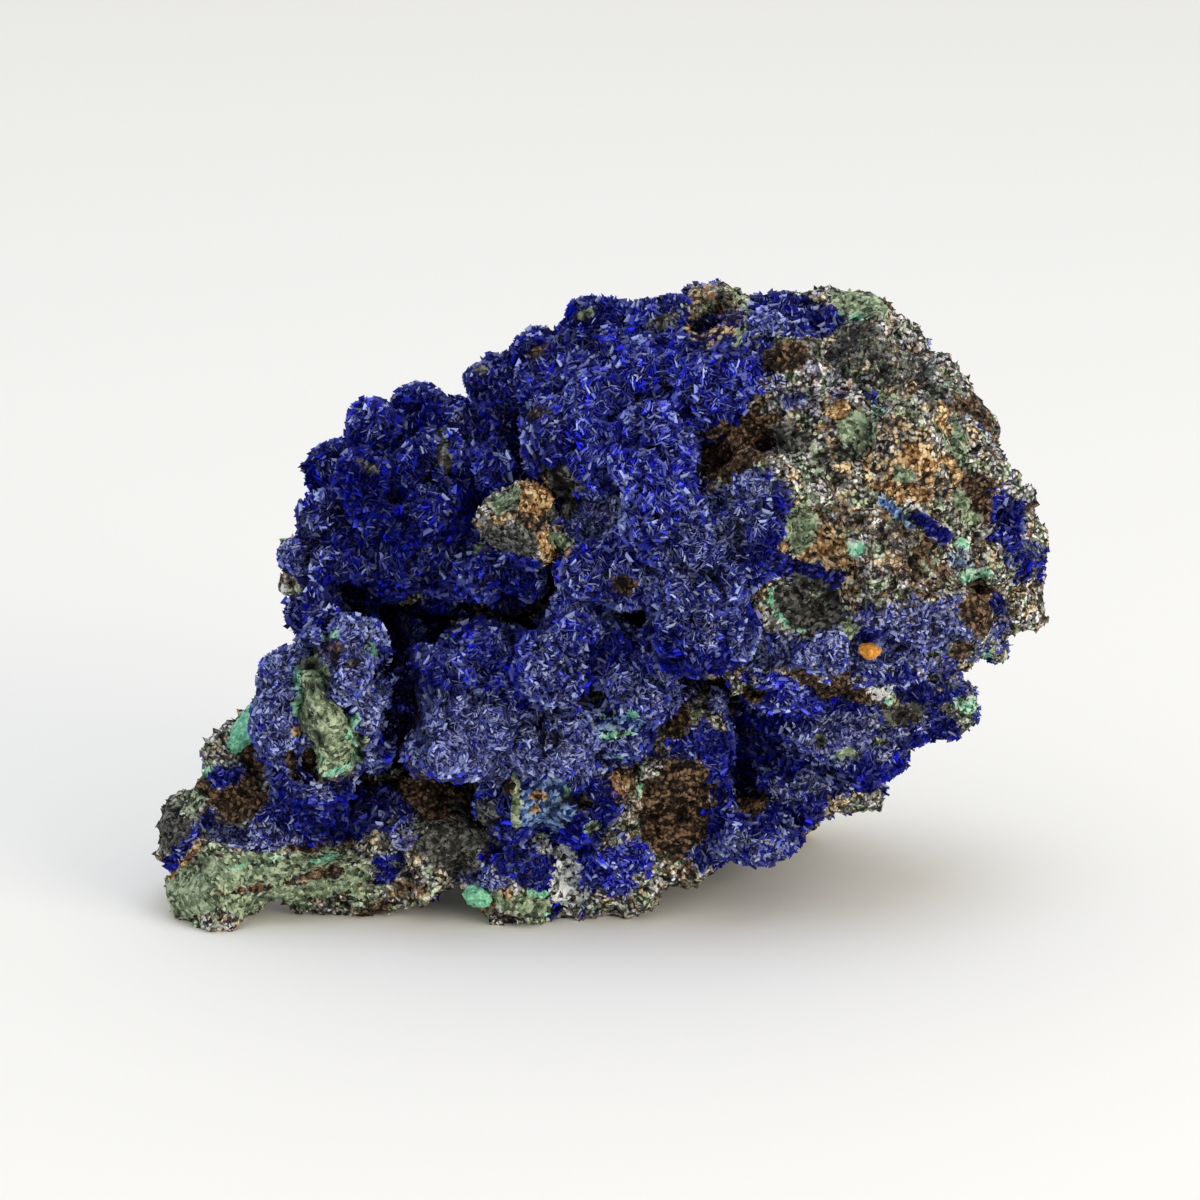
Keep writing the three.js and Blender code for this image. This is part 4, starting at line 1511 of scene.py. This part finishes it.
def sites_on(surface: Surface, weights: np.ndarray, count: int, apart: float, seed: int) -> Sites:
    """Spreads sites over a surface, no two in one small cell.

    Args:
        surface: The surface.
        weights: How thickly they stand at each corner.
        count: How many are tried.
        apart: Size of the cells that hold one each.
        seed: Which spread.

    Returns:
        The sites.
    """
    draw = np.random.default_rng(seed)
    corners = surface.places[surface.triangles]
    sides = np.cross(corners[:, 1] - corners[:, 0], corners[:, 2] - corners[:, 0])
    area = np.linalg.norm(sides, axis=1)
    chance = area * weights[surface.triangles].mean(axis=1)
    picked = draw.choice(len(chance), count, p=chance / chance.sum())
    first, second = draw.random(count), draw.random(count)
    folded = first + second > 1
    first[folded], second[folded] = 1 - first[folded], 1 - second[folded]
    mixing = np.stack([1 - first - second, first, second], axis=1)[:, :, None]
    rows = surface.triangles[picked]
    places = (surface.places[rows] * mixing).sum(axis=1)
    cell = np.floor(places / apart).astype(np.int64)
    keys = (cell[:, 0] * 4096 + cell[:, 1]) * 4096 + cell[:, 2]
    keep = np.sort(np.unique(keys, return_index=True)[1])
    rows, mixing = rows[keep], mixing[keep]
    return Sites(
        places[keep],
        normalised((surface.normals[rows] * mixing).sum(axis=1)),
        (surface.shares[rows] * mixing).sum(axis=1),
        (surface.crevice_shade[rows] * mixing[:, :, 0]).sum(axis=1),
    )


def open_sites(sites: Sites, cover: BVHTree, inside: float = 0.9 * MM, outside: float = 1.0 * MM) -> Sites:
    """Only the sites that another skin doesn't cover.

    Args:
        sites: The sites.
        cover: The other skin.
        inside: How far under the surface the test starts.
        outside: How far over it the test ends.

    Returns:
        The open ones.
    """
    reach = inside + outside
    keep = []
    for number, (place, normal) in enumerate(zip(sites.places, sites.normals)):
        start = Vector(place - normal * inside)
        if cover.ray_cast(start, Vector(normal), reach)[0] is None:
            keep.append(number)
    return sites.chosen(np.array(keep))


def copies(prototype: Prototype, places: np.ndarray, axes: np.ndarray, sizes: np.ndarray) -> tuple:
    """Copies of a small crystal, joined in one mesh.

    Args:
        prototype: The crystal.
        places: Where each copy goes.
        axes: For each copy its three directions, as rows.
        sizes: For each copy its size along them.

    Returns:
        Corners and triangles of all the copies.
    """
    scaled = prototype.corners[None] * sizes[:, None]
    corners = places[:, None] + np.einsum("nvi,nij->nvj", scaled, axes)
    step = np.arange(len(places))[:, None, None] * len(prototype.corners)
    return corners.reshape(-1, 3), (prototype.triangles[None] + step).reshape(-1, 3)


@dataclass
class Coat:
    """What grows on a skin.

    Attributes:
        name: The pieces' name.
        tries: How many sites are tried.
        apart: Size of the cells that hold one each.
        seed: Which spread of sites. The next number draws the crystals on them.
        bare: How thickly it stands where nothing is blue.
        by_blue: How much thicker where all is blue.
        least: How much of a site has to be blue.
    """

    name: str
    tries: int
    apart: float
    seed: int
    bare: float
    by_blue: float = 1.0
    least: float = -1.0

    def grow(self, sites: Sites) -> list[Piece]:
        """Models a crystal on each site, and returns the pieces that hold them."""
        raise NotImplementedError

    def build(self, surface: Surface, cover: BVHTree, material: bpy.types.Material, slot: str) -> None:
        """Grows the coat on a surface, where the other skin doesn't cover it.

        Args:
            surface: What it grows on.
            cover: The other skin.
            material: Its finish.
            slot: The name of a material slot; not used.
        """
        weights = self.bare + self.by_blue * surface.share(*BLUE)
        sites = sites_on(surface, weights, self.tries, self.apart, self.seed)
        sites = open_sites(sites.chosen(sites.share(*BLUE) > self.least), cover)
        log.info("%s: %d crystals", self.name, len(sites.places))
        for piece in self.grow(sites):
            dress(piece, material)


@dataclass
class BladeCoat(Coat):
    """The coat of crystal blades that stands on the azurite.

    Attributes:
        limit: The most blades in a piece.
        length: Mean length of a blade.
        width: Its thickness at the root.
        height: How tall it is.
        sunk: How much of that is under the surface.
        swirl: Size of the tufts that the blades form.
        splay: How far the blades of a tuft lean apart.
        tilt: How far each leans its own way.
        winding: How far their turn changes from place to place, in radians.
        winding_size: Distance between such changes.
        twist: How far each turns its own way, in radians.
        deep: Body colour on plain azurite.
        royal: Body colour where it is brightest.
        dusky: Body colour where it is frosted.
        frost_and_glint_on_druse: How much paler the edges are where it is frosted, as frosting and painted
            highlight.
        frost_and_glint_on_royal: How much paler where it is brightest, as frosting and painted highlight.
    """

    limit: int = 46000
    length: float = 1.05 * MM
    width: float = 0.31 * MM
    height: float = 1.0 * MM
    sunk: float = 0.45 * MM
    swirl: float = 4.2 * MM
    splay: float = 0.25
    tilt: float = 0.16
    winding: float = 4.5
    winding_size: float = 3.4 * MM
    twist: float = 0.3
    deep: Colour = (3, 12, 152)
    royal: Colour = (5, 14, 208)
    dusky: Colour = (22, 30, 160)
    frost_and_glint_on_druse: float = 0.66
    frost_and_glint_on_royal: float = 0.28

    def axes(self, sites: Sites, draw: np.random.Generator) -> np.ndarray:
        """Directions of each blade: along, across and up, as rows."""
        count = len(sites.places)
        tufts = cells_at(sites.places, self.swirl, 71)
        outward = sites.places - tufts.middle
        outward -= sites.normals * np.sum(outward * sites.normals, axis=1, keepdims=True)
        away = normalised(outward)
        lean = self.splay * away * tufts.near[:, None]
        up = normalised(sites.normals + lean + draw.normal(0, self.tilt, (count, 3)))
        turn = self.winding * waves(sites.places, self.winding_size, 72)
        turn += draw.normal(0, self.twist, count)
        around = np.cross(sites.normals, away)
        along = around * np.cos(turn)[:, None] + away * np.sin(turn)[:, None]
        along -= up * np.sum(along * up, axis=1, keepdims=True)
        along = normalised(along)
        return np.stack([along, np.cross(up, along), up], axis=1)

    def tints(self, sites: Sites, draw: np.random.Generator) -> np.ndarray:
        """The body colour of each blade, linear, with painted shade on the blades deep in crevices."""
        colours = (self.deep, self.royal, self.dusky)
        deep, royal, dusky = (np.array(from_screen(colour)) for colour in colours)
        tint = deep + (royal - deep) * sites.share(ROYAL)[:, None]
        tint = tint + (dusky - tint) * np.clip(sites.share(DRUSE)[:, None] * 1.1, 0, 1)
        # Random tone, and painted shade that darkens the blades deep in crevices.
        tint[:, :3] *= draw.lognormal(-0.25, 0.75, (len(tint), 1)) * (1 - 0.95 * sites.crevice_shade[:, None])
        return tint

    def frost_and_glint(self, sites: Sites, draw: np.random.Generator) -> np.ndarray:
        """How pale the edge of each blade is, 0 to 1: most of them a little, a few fully. The pale edge is
        partly frosting and partly painted highlight, more on blades that face up and none in painted
        crevice shade.
        """
        # Painted highlight: paler edges on blades that face up; none where painted shade fills a crevice.
        frost_and_glint = 0.07 + 0.12 * waves(sites.places, 7 * MM, 74) + 0.08 * sites.normals[:, 2]
        frost_and_glint = frost_and_glint + self.frost_and_glint_on_druse * sites.share(DRUSE) + self.frost_and_glint_on_royal * sites.share(ROYAL)
        frost_and_glint = np.clip(frost_and_glint, 0.03, 0.9)
        lot = draw.random(len(frost_and_glint))
        return np.clip(frost_and_glint * (0.04 + 2.3 * lot**2 + 3.4 * (lot > 0.83)), 0, 1) * (1 - sites.crevice_shade)

    def grow(self, sites: Sites) -> list[Piece]:
        """Models a blade on each site, in pieces of up to the limit.

        Args:
            sites: Where they stand.

        Returns:
            The pieces.
        """
        draw = np.random.default_rng(self.seed + 1)
        prototype = blade_prototype()
        count = len(sites.places)
        size = np.clip(draw.lognormal(0, 0.28, count), 0.5, 1.9)
        size *= 1 - 0.3 * sites.share(DRUSE)
        height = self.height * np.clip(draw.normal(1, 0.22, count), 0.5, 1.5) * size**0.5
        sizes = np.stack([self.length * size, self.width * size**0.6, height], axis=1)
        axes = self.axes(sites, draw)
        middle = sites.places + axes[:, 2] * (height / 2 - self.sunk)[:, None]
        tints = self.tints(sites, draw)
        frost_and_glint = self.frost_and_glint(sites, draw)
        pieces = []
        for part, rows in enumerate(np.array_split(np.arange(count), math.ceil(count / self.limit))):
            corners, triangles = copies(prototype, middle[rows], axes[rows], sizes[rows])
            piece = piece_from(f"{self.name}_{part + 1}", kept_in_box(corners), triangles, False)
            each = len(prototype.corners)
            hold(piece.data, "tip", np.tile(prototype.corners[:, 2] + 0.5, len(rows)))
            hold(piece.data, "frost_and_glint", np.repeat(frost_and_glint[rows], each))
            hold(piece.data, "tint", np.repeat(tints[rows], each, axis=0))
            pieces.append(piece)
        return pieces


@dataclass
class GrainCoat(Coat):
    """Loose-looking angular grains set in the rock.

    Attributes:
        size: Mean width of a grain.
        sunk: How far its middle is under the surface.
    """

    size: float = 0.95 * MM
    sunk: float = 0.15 * MM

    def grow(self, sites: Sites) -> list[Piece]:
        """Sets a grain in each site.

        Args:
            sites: Where they stand.

        Returns:
            The one piece.
        """
        draw = np.random.default_rng(self.seed + 1)
        count = len(sites.places)
        prototype = grain_prototype()
        first = normalised(draw.normal(0, 1, (count, 3)))
        second = normalised(np.cross(first, draw.normal(0, 1, (count, 3))))
        axes = np.stack([first, second, np.cross(first, second)], axis=1)
        size = self.size * np.clip(draw.lognormal(0, 0.35, count), 0.5, 2.2)
        sizes = size[:, None] * draw.uniform(0.6, 1.3, (count, 3))
        places = sites.places - self.sunk * sites.normals
        corners, triangles = copies(prototype, places, axes, sizes)
        piece = piece_from(self.name, kept_in_box(corners), triangles, False)
        shares = np.repeat(sites.shares, len(prototype.corners), axis=0)
        hold_minerals(piece.data, shares, np.zeros(len(shares)))
        return [piece]


@dataclass
class Chip:
    """A raised piece that stands on the rock by itself.

    Attributes:
        node: The CAD node that it stands in for.
        slot: The name of a material slot; not used.
        finish: Its finish.
        voxel: Size of its mesh's faces.
        relief: Height of its unevenness.
        grain: Size of its unevenness.
    """

    node: str
    slot: str
    finish: PlainMineralFinish
    voxel: float = 0.3 * MM
    relief: float = 0.3 * MM
    grain: float = 1.3 * MM

    def build(self) -> Piece:
        """Models the chip."""
        piece = merged_copy(self.node, f"{self.node}_piece")
        remeshed(piece, self.voxel, 6)
        mesh = piece.data
        tree = tree_of(piece)
        for stroke in STROKES:
            if self.node in stroke.nodes:
                weight, move = brushed(stroke, points_of(mesh), tree)
                move_points(mesh, points_of(mesh) + weight[:, None] * move)
        places, normals = points_of(mesh), normals_of(mesh)
        height = ridges(places, self.grain, 81) * 0.7 + waves(places, self.grain / 2.5, 82) * 0.5
        places = places + normals * (height * self.relief)[:, None]
        move_points(mesh, kept_in_box(places))
        only(piece)
        bpy.ops.object.shade_smooth_by_angle(angle=math.radians(35))
        dress(piece, self.finish.material(), self.node)
        return piece


@dataclass(frozen=True)
class Studio:
    """A plain pale floor, with soft light from above and from the front right.

    Attributes:
        floor: Width of the floor.
        floor_tone: How pale it is, as a screen value.
        sky: Strength of the light from all round.
        sky_tone: Its colour, linear.
        lamp_power: Of the lamp overhead, in watts.
        lamp_tone: Its colour, linear.
        lamp_size: Width of the lamp.
        lamp_place: Where it hangs.
        fill_power: Of the low lamp at the front right, in watts.
        fill_tone: Its colour, linear.
        fill_size: Width of the low lamp.
        fill_place: Where it stands.
    """

    floor: float = 12.0
    floor_tone: float = 243.0
    sky: float = 0.79
    sky_tone: Colour = (1.01, 0.985, 0.915)
    lamp_power: float = 19.5
    lamp_tone: Colour = (0.86, 1.01, 1.38)
    lamp_size: float = 1.8
    lamp_place: Place = (0.25, -0.2, 3.0)
    fill_power: float = 7.0
    fill_tone: Colour = (1.15, 1.0, 0.78)
    fill_size: float = 0.7
    fill_place: Place = (0.9, -0.8, 0.35)

    def build(self) -> None:
        """Makes the floor, the sky, the lamps and the camera."""
        scene = bpy.context.scene
        scene.view_settings.view_transform = "Standard"
        world = bpy.data.worlds.new("studio")
        world.use_nodes = True
        background = world.node_tree.nodes["Background"]
        background.inputs["Color"].default_value = (*self.sky_tone, 1)
        background.inputs["Strength"].default_value = self.sky
        scene.world = world
        bpy.ops.object.select_all(action="DESELECT")
        bpy.ops.mesh.primitive_plane_add(size=self.floor)
        floor = bpy.context.active_object
        floor.name = "floor"
        recipe = Recipe("floor")
        tone = from_screen((self.floor_tone, self.floor_tone, self.floor_tone - 2))
        recipe.shader.inputs["Base Color"].default_value = tone
        recipe.gloss(0.7, 0.2)
        floor.data.materials.append(recipe.material)
        self.lamp("overhead", self.lamp_power, self.lamp_tone, self.lamp_size, self.lamp_place)
        self.lamp("fill", self.fill_power, self.fill_tone, self.fill_size, self.fill_place)
        SHOW_SIDE.camera()

    def lamp(self, name: str, power: float, tone: Colour, size: float, place: Place) -> None:
        """Hangs a square lamp that faces the specimen.

        Args:
            name: The lamp's name.
            power: In watts.
            tone: Its colour, linear.
            size: Its width.
            place: Where it hangs.
        """
        data = bpy.data.lights.new(name, "AREA")
        data.energy = power
        data.color = tone
        data.size = size
        lamp = bpy.data.objects.new(name, data)
        lamp.location = place
        aim = Vector(SHOW_SIDE.target) - lamp.location
        lamp.rotation_euler = aim.to_track_quat("-Z", "Y").to_euler()
        bpy.context.collection.objects.link(lamp)


def main() -> None:
    """Builds the specimen on its frame, and the studio round it."""
    logging.basicConfig(level=logging.INFO, format="%(relativeCreated)7d ms %(message)s")
    Studio().build()
    lobes = AzuriteLobes(
        node="azurite_crust",
        name="azurite_lobes",
        slot="azurite",
        finish=SkinFinish("azurite_ground", CRUST, 0.6),
        voxel=0.8 * MM,
        smoothing=24,
        growth=-0.1 * MM,
    )
    rock = HostRock(
        node="host_rock",
        name="host_rock_surface",
        slot="host_rock",
        finish=SkinFinish("host_rock_ground", ROCK),
        voxel=1.0 * MM,
        growth=-0.45 * MM,
    )
    lobes.shape()
    rock.shape()
    trees = [tree_of(lobes.piece), tree_of(rock.piece)]
    lobe_surface = lobes.build(trees)
    rock_surface = rock.build(trees)
    lobe_tree, rock_tree = tree_of(lobes.piece), tree_of(rock.piece)

    crystal = BladeFinish().material()
    blades = BladeCoat("azurite_blades", tries=240000, apart=0.39 * MM, seed=101, bare=0.02, least=0.5)
    blades.build(lobe_surface, rock_tree, crystal, "azurite")
    sparks = BladeCoat("azurite_sparks", tries=92000, apart=0.5 * MM, seed=103, bare=0.005, least=0.42)
    sparks.length, sparks.width, sparks.height = 1.0 * MM, 0.4 * MM, 0.95 * MM
    sparks.build(rock_surface, lobe_tree, crystal, "azurite")
    grains = GrainCoat("rock_grains", tries=35000, apart=0.75 * MM, seed=105, bare=1.2, by_blue=-1.0)
    grains.build(rock_surface, lobe_tree, SkinFinish("rock_grain", ROCK).material(), "host_rock")

    malachite = PlainMineralFinish("malachite", SPECKS[MALACHITE])
    Chip("malachite_slab", "malachite", malachite).build()
    Chip("malachite_nodule", "malachite", malachite).build()
    orange = ((110, 64, 18), (188, 122, 38), (216, 150, 58), (238, 190, 110))
    Chip("limonite_chip", "limonite", PlainMineralFinish("limonite", orange, 0.6), relief=0.15 * MM).build()

    log.info("done")


if __name__ == "__main__":
    main()
